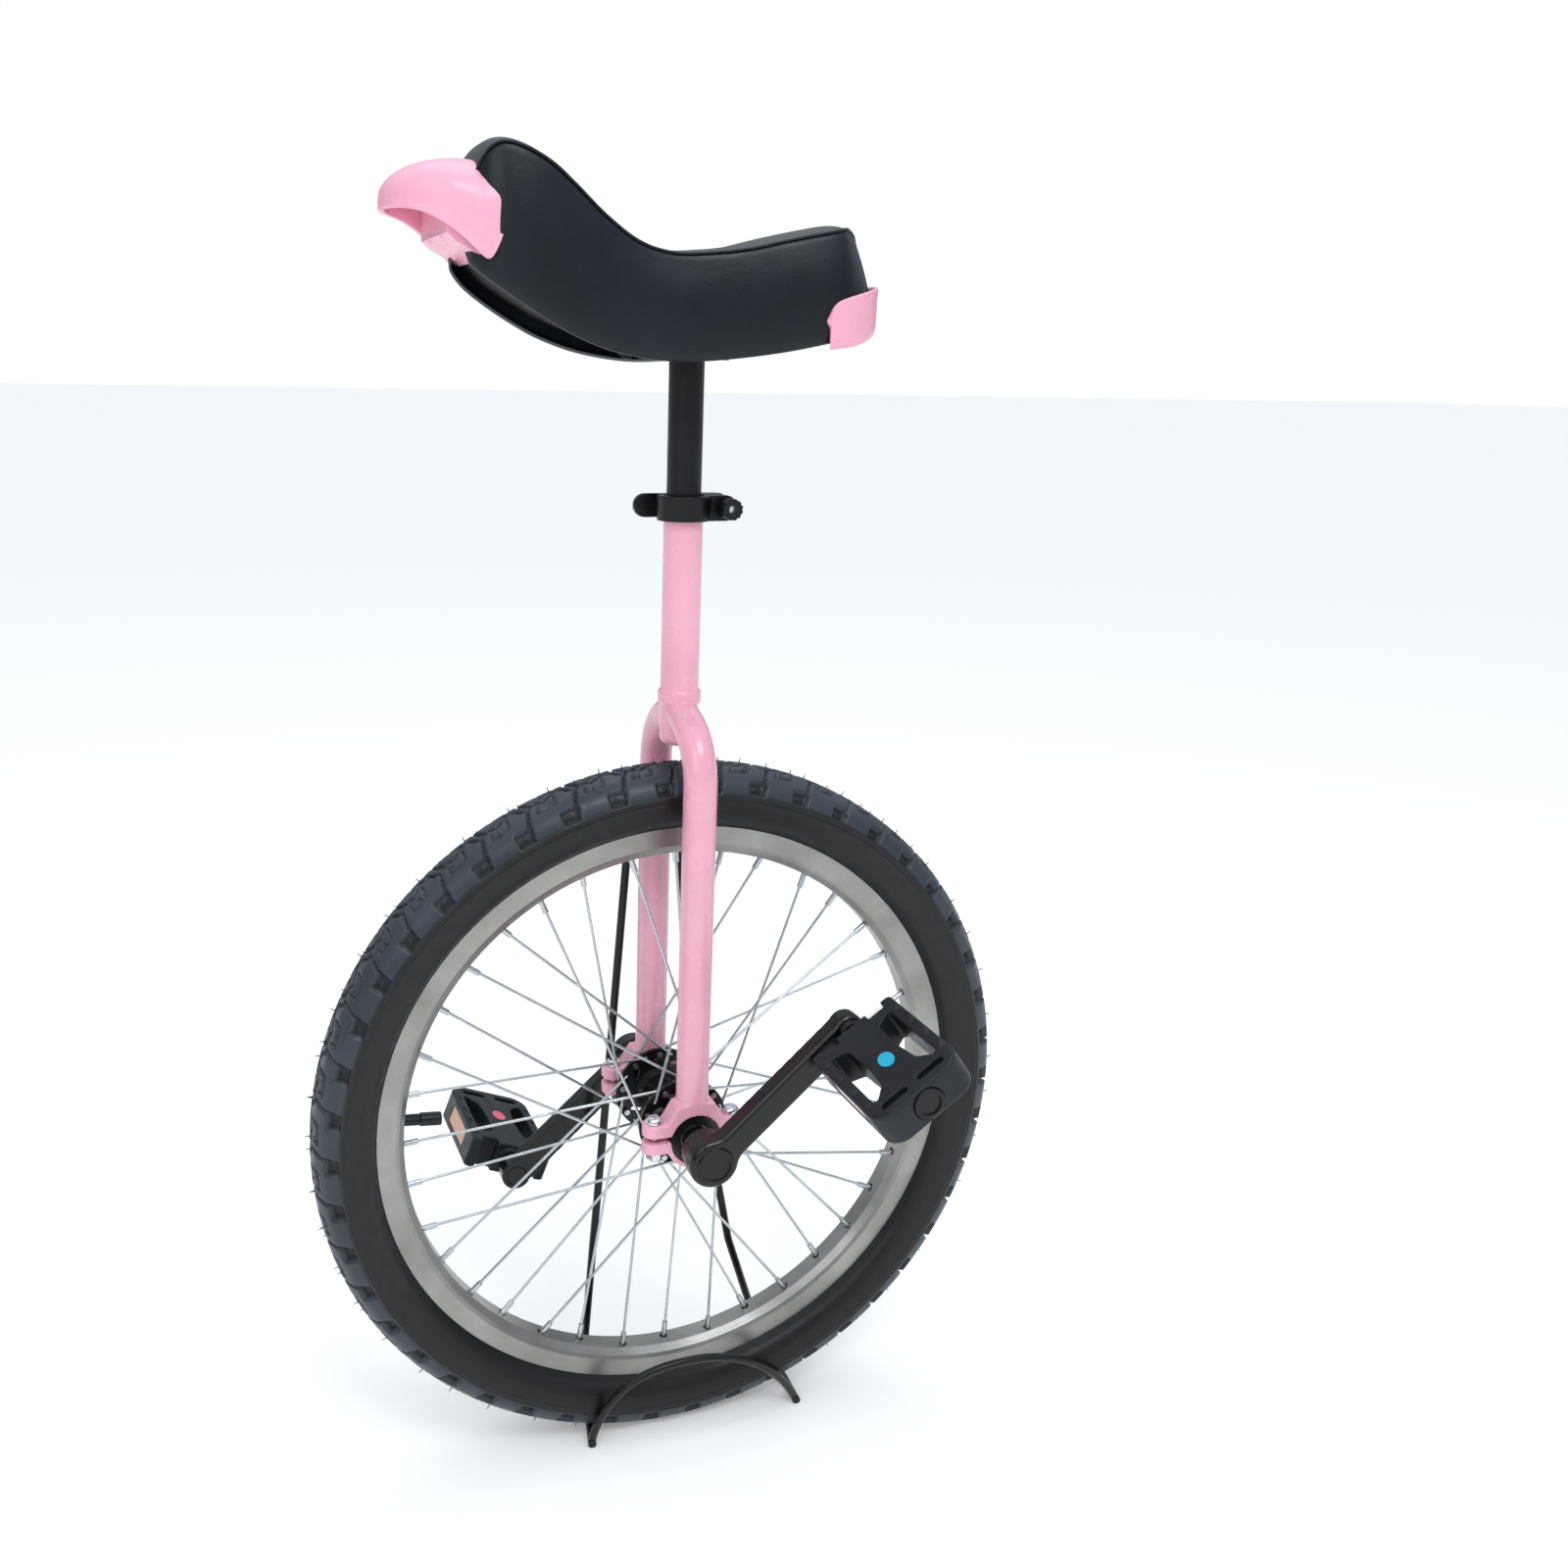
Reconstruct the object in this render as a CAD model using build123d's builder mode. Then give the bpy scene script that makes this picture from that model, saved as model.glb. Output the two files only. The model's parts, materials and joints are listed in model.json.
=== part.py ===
from build123d import *
import os
from math import cos, radians, sin, sqrt

# Unicycle with a 20 inch wheel, standing in a bent-wire floor stand.
# Millimetres. +X is forward, +Y is the rider's left, +Z is up. The origin is on the floor under the axle.

os.makedirs("parts", exist_ok=True)

SIDES = {"left": 1, "right": -1}

# ---- wheel ----
TYRE_R = 251.0            # outer radius of a 20 x 2.0 tyre
TYRE_HALF = 25.0          # half of the tyre's width
AXLE_Z = TYRE_R           # the tyre stands on the floor
RIM_R = 209.5             # outer edge of the rim's sidewalls
RIM_HALF = 12.5
RIM_WALL = 1.5
BED_R = 190.5             # innermost radius of the rim's channel
SEAT_R = 193.1            # where the nipple heads sit on the rim bed
TUBE_MID_R = 227.5        # centre of the inner tube's round section
SPOKES_PER_SIDE = 18
SPOKE_R = 1.0
SPOKE_LEAN = 60.0         # turn between a spoke's hub hole and its rim hole, for three crossings
VALVE_ANGLE = 5.0         # above the forward horizontal, between two spokes

# ---- hub and bearings ----
FLANGE_Y = 26.0
FLANGE_T = 2.4
FLANGE_R = 31.5
SPOKE_CIRCLE_R = 28.0
AXLE_R = 7.5
BEARING_Y = 46.0
BEARING_R = 17.5          # 15 x 35 x 11 bearing
BEARING_W = 11.0
TAPER_START = 58.0
TAPER_END = 76.0
TAPER_SQUARE = 12.7

# ---- cranks and pedals ----
CRANK_LENGTH = 125.0
CRANK_ANGLE = 138.0       # the left crank, from forward towards up
CRANK_IN = 64.5           # inner face of the boss
CRANK_OUT = 90.0          # outer face of the boss and the arm
CRANK_ARM_T = 13.0
PEDAL_IN = 102.0
PEDAL_OUT = 196.0
PEDAL_HALF = 33.0         # half of the platform, front to back
PEDAL_T = 24.0
PEDAL_PITCH = {"left": -36.0, "right": 21.0}   # nose-up angle of each platform at rest
SPINDLE_R = 5.0

# ---- frame ----
LEG_R = 11.1
LEG_WALL = 1.6
LEG_Y = 43.5
LEG_FOOT_Z = AXLE_Z + 27.0
LEG_BEND_Z = AXLE_Z + 244.0
LEG_BEND_R = 40.0
LEG_BEND = 70.0           # degrees the leg turns towards the seat tube
TUBE_R = 12.7
TUBE_BORE_R = 11.17
TUBE_LOW_Z = AXLE_Z + 264.0
TUBE_TOP_Z = AXLE_Z + 424.0
WELD_RING_Z = AXLE_Z + 296.5
HOLDER_HALF = 8.0         # half of the bearing holders' width along the axle
HOLDER_R = 21.0
LUG_X = 27.5
LUG_END = 36.0

# ---- seat ----
POST_R = 11.1
POST_LOW_Z = AXLE_Z + 309.0
PLATE_Z = 766.0           # underside of the seatpost's top plate
PLATE_T = 3.0
PLATE_MID_X = 8.0
STUDS = [(x, y) for x in (-18, 34) for y in (-17, 17)]
CLAMP_Z = AXLE_Z + 418.5
CLAMP_H = 16.0
CLAMP_R = 17.0
SKEWER_X = -26.0
COVER_T = 1.5
BASE_RISE = 11.0          # the base sits this far above the cover's lower edge
BASE_T = 3.0
FOAM_GAP = 0.2
BUMPER_GAP = 0.4
BUMPER_T = 3.0
BUMPER_DROP = 25.0        # how far the pockets for the saddle run below its lower edge

# Stations of the saddle from its nose to its tail: x, lower edge, upper edge, half-width.
SADDLE = [
    (148, 811, 829, 26),
    (142, 806.5, 854, 37),
    (134, 800.5, 870, 43),
    (124, 792.5, 876, 46),
    (112, 785, 874, 48),
    (98, 777, 866.5, 48),
    (85, 770.5, 857, 47),
    (65, 763.5, 840.5, 45),
    (45, 759.5, 828, 44),
    (25, 757.5, 822.5, 44),
    (5, 757.5, 823, 46),
    (-20, 760, 825.5, 50),
    (-46, 763.5, 831.5, 55),
    (-68, 768, 836, 58),
    (-86, 772, 838.5, 55),
    (-98, 775.5, 838, 46),
    (-107, 778.5, 835, 34),
    (-112, 780.5, 830, 23),
]

# ---- stand ----
WIRE_R = 3.0
TALL_Y = -58.0
LOW_FOOT_Y = 24.0
LOW_LEAN = 0.22               # how far the low hoop leans out for each millimetre it rises
RAIL_TIP_Y = 28.0
FRONT_FOOT = (63.0, 46.0)     # x of the front rail at the low hoop and at the tall hoop
REAR_FOOT = (-98.0, -103.0)

AXLE = Axis((0, 0, AXLE_Z), (0, 1, 0))
SECTION = Plane(origin=(0, 0, AXLE_Z), x_dir=(0, 1, 0), z_dir=(1, 0, 0))   # local x = Y, local y = radius


def save(part, name):
    """Label a finished piece and write its STEP file."""
    part.label = name
    export_step(part, f"parts/{name}.step")


def side_plane(y, facing=1):
    """Plane across the axle at y, with local x forward and local y up (facing -1) or down (facing 1)."""
    return Plane(origin=(0, y, AXLE_Z), x_dir=(1, 0, 0), z_dir=(0, facing, 0))


def wheel_point(radius, degrees, y):
    """Point at a radius and an angle about the axle, from forward towards up."""
    angle = radians(degrees)
    return Vector(radius * cos(angle), y, AXLE_Z + radius * sin(angle))


def ring(name, outer_r, inner_r, spans):
    """Plain rings about the axle, one for each (from, to) span along Y, as one node."""
    with BuildPart() as rings:
        for low, high in spans:
            with BuildSketch(side_plane(low)):
                Circle(outer_r)
                Circle(inner_r, mode=Mode.SUBTRACT)
            extrude(amount=high - low)
    save(rings.part, name)


def both_sides(low, high):
    """The same span along Y on the left and on the right."""
    return [(low, high), (-high, -low)]


# ================= wheel =================

def make_tyre():
    """Tyre: round carcass on two bead feet, open towards the rim."""
    bead_out, bead_in, bead_low, bead_top = 10.3, 7.6, 203.0, 210.2
    with BuildPart() as tyre:
        with BuildSketch(SECTION):
            with BuildLine():
                ThreePointArc((0, TYRE_R), (10, TYRE_R - 1.0), (19, TYRE_R - 6.0))
                ThreePointArc((19, TYRE_R - 6.0), (23.8, 238), (TYRE_HALF, 229))
                ThreePointArc((TYRE_HALF, 229), (20.5, 216), (bead_out, bead_top))
                Polyline((bead_out, bead_top), (bead_out, bead_low), (0, bead_low))
                mirror(about=Plane.YZ)
            make_face()
            with Locations((0, TUBE_MID_R)):
                Circle(18.5, mode=Mode.SUBTRACT)
            with Locations((0, bead_low)):
                Rectangle(2 * bead_in, 30, mode=Mode.SUBTRACT)
        revolve(axis=AXLE)
    save(tyre.part, "tyre")


def make_inner_tube():
    """Inner tube: a thin hollow torus."""
    with BuildPart() as inner_tube:
        with BuildSketch(SECTION):
            with Locations((0, TUBE_MID_R)):
                Circle(17.8)
                Circle(16.6, mode=Mode.SUBTRACT)
        revolve(axis=AXLE)
    save(inner_tube.part, "inner_tube")


def radial_plane(radius, degrees, y):
    """Plane on a wheel radius, with its normal pointing outwards."""
    outward = wheel_point(1, degrees, 0) - Vector(0, 0, AXLE_Z)
    return Plane(origin=wheel_point(radius, degrees, y), x_dir=(0, 1, 0), z_dir=outward)


def make_rim():
    """Single-wall rim: flat sidewalls and a dropped channel, with a hole for each nipple and the valve."""
    bed_half, knee = 7.0, 196.0
    bed_t = 1.8
    wall_in = RIM_HALF - RIM_WALL
    with BuildPart() as rim:
        with BuildSketch(SECTION):
            with BuildLine():
                Polyline((0, BED_R), (bed_half, BED_R), (wall_in, knee - 1.5), (RIM_HALF, knee + 1),
                         (RIM_HALF, RIM_R), (wall_in, RIM_R), (wall_in, knee + bed_t),
                         (bed_half - 0.7, BED_R + bed_t), (0, BED_R + bed_t))
                mirror(about=Plane.YZ)
            make_face()
        revolve(axis=AXLE)
        for index in range(2 * SPOKES_PER_SIDE):
            side = 1 if index % 2 == 0 else -1
            with Locations(radial_plane(BED_R, index * 180 / SPOKES_PER_SIDE, 2 * side)):
                Cylinder(2.9, 8, mode=Mode.SUBTRACT)
        with Locations(radial_plane(BED_R, VALVE_ANGLE, 0)):
            Cylinder(4.25, 10, mode=Mode.SUBTRACT)
    save(rim.part, "rim")


def make_rim_tape():
    """Tape over the nipple heads, with a hole for the valve."""
    with BuildPart() as rim_tape:
        with BuildSketch(SECTION):
            with Locations((0, 196.6)):
                Rectangle(18.4, 0.8)
        revolve(axis=AXLE)
        with Locations(radial_plane(196, VALVE_ANGLE, 0)):
            Cylinder(4.25, 10, mode=Mode.SUBTRACT)
    save(rim_tape.part, "rim_tape")


def make_valve():
    """Rubber-covered valve stem through the rim, and its cap."""
    tube_in = TUBE_MID_R - 17.9
    thread_r = 2.6
    shoulder = tube_in - 30
    with BuildPart() as valve_stem:
        with BuildSketch(radial_plane(tube_in, VALVE_ANGLE, 0)):
            Circle(3.9)
        extrude(amount=-30)
        with BuildSketch(radial_plane(shoulder, VALVE_ANGLE, 0)):
            Circle(thread_r)
        extrude(amount=-9)
    save(valve_stem.part, "valve_stem")
    with BuildPart() as valve_cap:
        with BuildSketch(radial_plane(shoulder - 0.5, VALVE_ANGLE, 0)):
            Circle(4.6)
        extrude(amount=-14.5)
        fillet(valve_cap.edges().filter_by(GeomType.CIRCLE), 0.8)
        with BuildSketch(radial_plane(shoulder - 0.5, VALVE_ANGLE, 0)):
            Circle(thread_r + 0.05)
        extrude(amount=-10, mode=Mode.SUBTRACT)
    save(valve_cap.part, "valve_cap")


def spoke_ends(side, index):
    """Flange hole, elbow and nipple seat of one spoke, and which flange face its elbow is on."""
    face = 1 if index % 2 == 0 else -1
    first = 0 if side == 1 else 10
    hub_angle = first + index * 360 / SPOKES_PER_SIDE
    rim_angle = hub_angle + face * SPOKE_LEAN
    stand_off = 3.5 if face == 1 else 2.6
    head = wheel_point(SPOKE_CIRCLE_R, hub_angle, side * (FLANGE_Y - face * 2.9))
    elbow = wheel_point(SPOKE_CIRCLE_R, hub_angle, side * (FLANGE_Y + face * stand_off))
    seat = wheel_point(SEAT_R, rim_angle, side * 2)
    return head, elbow, seat, face


def make_spokes(side_name):
    """Eighteen J-bend spokes of one side, crossing three times."""
    side = SIDES[side_name]
    with BuildPart() as spokes:
        for index in range(SPOKES_PER_SIDE):
            head, elbow, seat, face = spoke_ends(side, index)
            along = (seat - elbow).normalized()
            with BuildLine() as path:
                FilletPolyline(head, elbow, seat - along * 3, radius=1.6)
            with BuildSketch(Plane(origin=head, z_dir=(0, side * face, 0))):
                Circle(SPOKE_R)
            sweep(path=path.line)
            with BuildSketch(Plane(origin=head, z_dir=(0, -side * face, 0))):
                Circle(2.1)
            extrude(amount=1.2)
    save(spokes.part, f"spokes_{side_name}")


def make_nipples():
    """All spoke nipples: a shank over the spoke's end and a head on the rim bed."""
    with BuildPart() as spoke_nipples:
        for side in SIDES.values():
            for index in range(SPOKES_PER_SIDE):
                _, elbow, seat, _ = spoke_ends(side, index)
                along = (seat - elbow).normalized()
                with BuildSketch(Plane(origin=seat, z_dir=along)):
                    Circle(3.1)
                extrude(amount=2.1)
                with BuildSketch(Plane(origin=seat, z_dir=along * -1)):
                    Circle(2.0)
                extrude(amount=13)
                with BuildSketch(Plane(origin=seat, z_dir=along * -1)):
                    Circle(SPOKE_R + 0.05)
                extrude(amount=14, mode=Mode.SUBTRACT)
    save(spoke_nipples.part, "spoke_nipples")


def make_hub_shell():
    """Hub shell: a barrel with two drilled and slotted flanges."""
    flange_in = FLANGE_Y - FLANGE_T / 2
    flange_out = FLANGE_Y + FLANGE_T / 2
    slot_r = 21.5
    barrel_r, collar_r, hub_end = 14.0, 13.0, 33.0
    bore_r = AXLE_R + 0.05
    with BuildPart() as hub_shell:
        with BuildSketch(SECTION):
            with BuildLine():
                Polyline((0, bore_r), (0, barrel_r), (flange_in - 5, barrel_r), (flange_in, barrel_r + 3),
                         (flange_in, FLANGE_R), (flange_out, FLANGE_R), (flange_out, collar_r),
                         (hub_end, collar_r), (hub_end, bore_r), (0, bore_r))
            make_face()
        revolve(axis=AXLE)
        mirror(about=Plane.XZ)
        for side_name, side in SIDES.items():
            first = 0 if side_name == "left" else -10
            with BuildSketch(side_plane(side * (flange_in - 1), side)):
                with PolarLocations(SPOKE_CIRCLE_R, SPOKES_PER_SIDE, start_angle=first):
                    Circle(SPOKE_R + 0.25)
                with PolarLocations(slot_r, SPOKES_PER_SIDE // 2, start_angle=first + 10):
                    SlotOverall(8.5, 3.6, rotation=60)
            extrude(amount=FLANGE_T + 2, mode=Mode.SUBTRACT)
    save(hub_shell.part, "hub_shell")


def make_axle():
    """Axle: a round shaft with a square at each end, drilled for the crank bolts."""
    with BuildPart() as axle:
        with BuildSketch(side_plane(-TAPER_START)):
            Circle(AXLE_R)
        extrude(amount=2 * TAPER_START)
        for side_name, side in SIDES.items():
            with BuildSketch(crank_plane(side_name, TAPER_START)):
                Circle(AXLE_R)
                Rectangle(TAPER_SQUARE, TAPER_SQUARE, mode=Mode.INTERSECT)
            extrude(amount=TAPER_END - TAPER_START)
            with BuildSketch(side_plane(side * TAPER_END, -side)):
                Circle(4.0)
            extrude(amount=18, mode=Mode.SUBTRACT)
    save(axle.part, "axle")


def make_bearings():
    """Two sealed ball bearings on the axle, and the spacers beside them."""
    low, high = BEARING_Y - BEARING_W / 2, BEARING_Y + BEARING_W / 2
    inner_r = 10.4
    outer_in_r = 14.6
    ring("bearing_inner_races", inner_r, AXLE_R + 0.05, both_sides(low, high))
    ring("bearing_outer_races", BEARING_R, outer_in_r, both_sides(low, high))
    seals = both_sides(low + 0.3, low + 1.1) + both_sides(high - 1.1, high - 0.3)
    ring("bearing_seals", outer_in_r - 0.05, inner_r + 0.5, seals)
    ring("bearing_spacers", 9.9, AXLE_R + 0.05, both_sides(33.1, low) + both_sides(high, TAPER_START))
    with BuildPart() as bearing_balls:
        for side in SIDES.values():
            for index in range(9):
                with Locations(Location(wheel_point(12.45, index * 40, side * BEARING_Y))):
                    Sphere(1.7)
    save(bearing_balls.part, "bearing_balls")


# ================= cranks and pedals =================

def crank_angle(side_name):
    """Angle of a crank about the axle; the two are opposite."""
    return CRANK_ANGLE if side_name == "left" else CRANK_ANGLE - 180


def crank_plane(side_name, y):
    """Plane across the axle at y, with local x along the crank and its normal outboard."""
    side = SIDES[side_name]
    along = wheel_point(1, crank_angle(side_name), 0) - Vector(0, 0, AXLE_Z)
    return Plane(origin=(0, side * y, AXLE_Z), x_dir=along, z_dir=(0, side, 0))


def make_crank(side_name):
    """Crank: a boss on the axle's square, and a flat arm with a bevelled outer edge."""
    boss_r, end_r, arm_half = 17.0, 11.0, 10.0
    arm_in = CRANK_OUT - CRANK_ARM_T
    with BuildPart() as crank:
        with BuildSketch(crank_plane(side_name, arm_in)) as outline:
            Circle(boss_r)
            with Locations((CRANK_LENGTH / 2, 0)):
                Rectangle(CRANK_LENGTH, 2 * arm_half)
            with Locations((CRANK_LENGTH, 0)):
                Circle(end_r)
            neck_x = sqrt(boss_r**2 - arm_half**2)
            fillet(outline.vertices().filter_by(lambda v: abs(v.X - neck_x) < 0.1), 14)
        extrude(amount=CRANK_ARM_T)
        outer_face = crank.faces().sort_by(Axis((0, 0, 0), (0, SIDES[side_name], 0)))[-1]
        chamfer(outer_face.outer_wire().edges(), 2.2)
        with BuildSketch(crank_plane(side_name, CRANK_IN)):
            Circle(15.0)
        extrude(amount=arm_in - CRANK_IN)
        with BuildSketch(crank_plane(side_name, CRANK_IN)):
            Circle(AXLE_R + 0.05)
            Rectangle(TAPER_SQUARE + 0.1, TAPER_SQUARE + 0.1, mode=Mode.INTERSECT)
        extrude(amount=CRANK_OUT - CRANK_IN, mode=Mode.SUBTRACT)
        with BuildSketch(crank_plane(side_name, TAPER_END + 1)):
            Circle(11.1)
        extrude(amount=CRANK_OUT, mode=Mode.SUBTRACT)
        with BuildSketch(crank_plane(side_name, arm_in - 1)):
            with Locations((CRANK_LENGTH, 0)):
                Circle(7.15)
        extrude(amount=CRANK_ARM_T + 2, mode=Mode.SUBTRACT)
    save(crank.part, f"crank_{side_name}")


def make_crank_bolts():
    """Hexagon bolts that draw the cranks on to the axle's squares."""
    with BuildPart() as crank_bolts:
        for side in SIDES.values():
            with BuildSketch(side_plane(side * 60, side)):
                Circle(3.95)
            extrude(amount=18)
            with BuildSketch(side_plane(side * (TAPER_END + 1.2), side)):
                RegularPolygon(7.5, 6)
            extrude(amount=6)
    save(crank_bolts.part, "crank_bolts")


def make_dust_caps():
    """Screw-in plastic caps over the crank bolts, with a raised rim."""
    with BuildPart() as dust_caps:
        for side in SIDES.values():
            with BuildSketch(side_plane(side * (CRANK_OUT - 4), side)):
                Circle(11.0)
            extrude(amount=4)
            with BuildSketch(side_plane(side * CRANK_OUT, side)):
                Circle(13.2)
            extrude(amount=1.8, taper=30)
            with BuildSketch(side_plane(side * (CRANK_OUT + 1.8), side)):
                Circle(10.2)
            extrude(amount=-0.7, mode=Mode.SUBTRACT)
    save(dust_caps.part, "dust_caps")


def pedal_plane(side_name):
    """Frame of a pedal: local x along the platform, local y outboard on the spindle, local z its normal."""
    side = SIDES[side_name]
    centre = wheel_point(CRANK_LENGTH, crank_angle(side_name), 0)
    pitch = radians(PEDAL_PITCH[side_name])
    forward = Vector(cos(pitch), 0, sin(pitch))
    return Plane(origin=centre, x_dir=forward * side, z_dir=(-sin(pitch), 0, cos(pitch)))


def place(part, name, side_name):
    """Move a piece made in the pedal's own frame to its side of the unicycle, and write it."""
    save(part.moved(pedal_plane(side_name).location), f"{name}_{side_name}")


def along_spindle(y):
    """Plane across the pedal's spindle in its own frame, with its normal outboard."""
    return Plane(origin=(0, y, 0), x_dir=(1, 0, 0), z_dir=(0, 1, 0))


def pedal_body():
    """Plastic platform: two studded toe bars, an outer wall and a waisted middle round the spindle."""
    length = PEDAL_OUT - PEDAL_IN
    middle = (PEDAL_IN + PEDAL_OUT) / 2
    bar = 8.0
    with BuildPart() as body:
        with BuildSketch(Plane.XY.offset(-PEDAL_T / 2)) as outline:
            with Locations((0, middle)):
                Rectangle(2 * PEDAL_HALF, length)
            fillet(outline.vertices().group_by(Axis.Y)[-1], 14)
            fillet(outline.vertices().group_by(Axis.Y)[0], 3.5)
        extrude(amount=PEDAL_T)
        top_and_bottom = body.faces().filter_by(Axis.Z)
        fillet(top_and_bottom.edges(), 1.6)
        with BuildSketch(Plane.XY.offset(-PEDAL_T / 2)) as windows:
            with BuildLine():
                edge = PEDAL_HALF - bar
                Polyline((edge, 115), (edge, 181), (14, 169), (11.5, 146), (13, 122), (edge, 115))
            make_face()
            fillet(windows.vertices(), 2.5)
            with Locations((18.5, PEDAL_IN + 3)):
                Rectangle(13, 8)
            mirror(about=Plane.YZ)
        extrude(amount=PEDAL_T, mode=Mode.SUBTRACT)
        for level in (-PEDAL_T / 2, PEDAL_T / 2 - 5):
            with BuildSketch(Plane.XY.offset(level)):
                with Locations((-14, 186), (14, 186)):
                    SlotOverall(20, 6)
            extrude(amount=5, mode=Mode.SUBTRACT)
        with BuildSketch(Plane.XY.offset(-PEDAL_T / 2 - 1.4)):
            with Locations((0, middle - 3)):
                with GridLocations(2 * PEDAL_HALF - bar, 19, 2, 4):
                    Rectangle(3.2, 5.5)
        extrude(amount=PEDAL_T + 2.8)
        with BuildSketch(along_spindle(PEDAL_IN - 3)):
            Circle(9.5)
        extrude(amount=8)
        with BuildSketch(along_spindle(PEDAL_IN - 3)):
            Circle(SPINDLE_R + 0.06)
        extrude(amount=length, mode=Mode.SUBTRACT)
        with BuildSketch(along_spindle(PEDAL_OUT - 4)):
            Circle(10.2)
        extrude(amount=4, mode=Mode.SUBTRACT)
        for end in (-1, 1):
            with Locations((end * (PEDAL_HALF - 1.25), middle - 3, 0)):
                Box(2.5, 44.2, 13.2, mode=Mode.SUBTRACT)
    return body.part


def pedal_reflectors():
    """Two amber reflectors, one in each toe bar."""
    with BuildPart() as reflectors:
        for end in (-1, 1):
            with Locations((end * (PEDAL_HALF - 1.45), (PEDAL_IN + PEDAL_OUT) / 2 - 3, 0)):
                Box(2, 44, 13)
    return reflectors.part


def pedal_end_cap():
    """Round cap over the spindle's outer end, with a raised lip."""
    with BuildPart() as end_cap:
        with BuildSketch(along_spindle(PEDAL_OUT - 3.9)):
            Circle(10.1)
        extrude(amount=5)
        fillet(end_cap.edges().group_by(Axis.Y)[-1], 0.8)
        with BuildSketch(along_spindle(PEDAL_OUT + 1.1)):
            Circle(7.5)
        extrude(amount=-1, mode=Mode.SUBTRACT)
    return end_cap.part


def pedal_badge():
    """Plain oval badge on each face of the platform."""
    with BuildPart() as badge:
        for level in (PEDAL_T / 2 + 0.02, -PEDAL_T / 2 - 0.42):
            with BuildSketch(Plane.XY.offset(level)):
                with Locations((0, 153)):
                    Ellipse(5.2, 7.4)
            extrude(amount=0.4)
    return badge.part


def pedal_spindle():
    """Pedal spindle: threaded end in the crank, wrench collar, and the shaft the pedal turns on."""
    steps = [(CRANK_OUT - 12.8, 12.8, 7.1), (CRANK_OUT, 6, 8.5), (CRANK_OUT + 6, 95.5, SPINDLE_R)]
    with BuildPart() as spindle:
        for start, length, radius in steps:
            with BuildSketch(along_spindle(start)):
                Circle(radius)
            extrude(amount=length)
    return spindle.part


def make_pedals():
    """Both pedals from the same pieces."""
    pieces = {
        "pedal_body": pedal_body(),
        "pedal_reflectors": pedal_reflectors(),
        "pedal_end_cap": pedal_end_cap(),
        "pedal_badge": pedal_badge(),
        "pedal_spindle": pedal_spindle(),
    }
    for side_name in SIDES:
        for name, part in pieces.items():
            place(part, name, side_name)


# ================= frame =================

def make_seat_tube():
    """Seat tube: closed and rounded below, ringed where the legs join, slotted at the top for the clamp."""
    with BuildPart() as seat_tube:
        with BuildSketch(Plane.XY.offset(TUBE_LOW_Z)):
            Circle(TUBE_R)
        extrude(amount=TUBE_TOP_Z - TUBE_LOW_Z)
        fillet(seat_tube.edges().group_by(Axis.Z)[0], 6)
        with BuildSketch(Plane.XY.offset(WELD_RING_Z - 4.5)):
            Circle(TUBE_R + 1.7)
        extrude(amount=9)
        circles = seat_tube.edges().filter_by(GeomType.CIRCLE)
        fillet(circles.filter_by(lambda edge: edge.radius > TUBE_R + 1), 1.6)
        with BuildSketch(Plane.XY.offset(TUBE_LOW_Z + 4)):
            Circle(TUBE_BORE_R)
        extrude(amount=TUBE_TOP_Z, mode=Mode.SUBTRACT)
        with Locations((-TUBE_R, 0, TUBE_TOP_Z)):
            Box(8, 3, 60, mode=Mode.SUBTRACT)
    save(seat_tube.part, "seat_tube")


def make_fork_leg(side_name):
    """Fork leg: a tube rising beside the tyre and curving in to the seat tube."""
    side = SIDES[side_name]
    turn = radians(LEG_BEND)
    bend_end_y = LEG_Y - LEG_BEND_R * (1 - cos(turn))
    bend_end_z = LEG_BEND_Z + LEG_BEND_R * sin(turn)
    bend_mid_y = LEG_Y - LEG_BEND_R * (1 - cos(turn / 2))
    bend_mid_z = LEG_BEND_Z + LEG_BEND_R * sin(turn / 2)
    reach = bend_end_y / sin(turn)
    foot = (0, side * LEG_Y, LEG_FOOT_Z)
    bend_start = (0, side * LEG_Y, LEG_BEND_Z)
    bend_end = (0, side * bend_end_y, bend_end_z)
    with BuildPart() as fork_leg:
        with BuildLine() as path:
            Line(foot, bend_start)
            ThreePointArc(bend_start, (0, side * bend_mid_y, bend_mid_z), bend_end)
            Line(bend_end, (0, 0, bend_end_z + reach * cos(turn)))
        with BuildSketch(Plane(origin=foot, z_dir=(0, 0, 1))):
            Circle(LEG_R)
            Circle(LEG_R - LEG_WALL, mode=Mode.SUBTRACT)
        sweep(path=path.line)
        with BuildSketch(Plane.XY.offset(TUBE_LOW_Z - 5)):
            Circle(TUBE_R + 0.02)
        extrude(amount=80, mode=Mode.SUBTRACT)
        with BuildSketch(Plane.XY.offset(WELD_RING_Z - 4.6)):
            Circle(TUBE_R + 1.75)
        extrude(amount=20, mode=Mode.SUBTRACT)
        with Locations((0, -side * 30, LEG_BEND_Z)):
            Box(60, 60, 200, mode=Mode.SUBTRACT)
    save(fork_leg.part, f"fork_leg_{side_name}")


def lug_corners(part):
    """Upright edges at the outer ends of a holder's bolt lugs."""
    upright = part.edges().filter_by(Axis.Z)
    return upright.filter_by(lambda edge: abs(abs(edge.center().X) - LUG_END) < 0.1)


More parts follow.
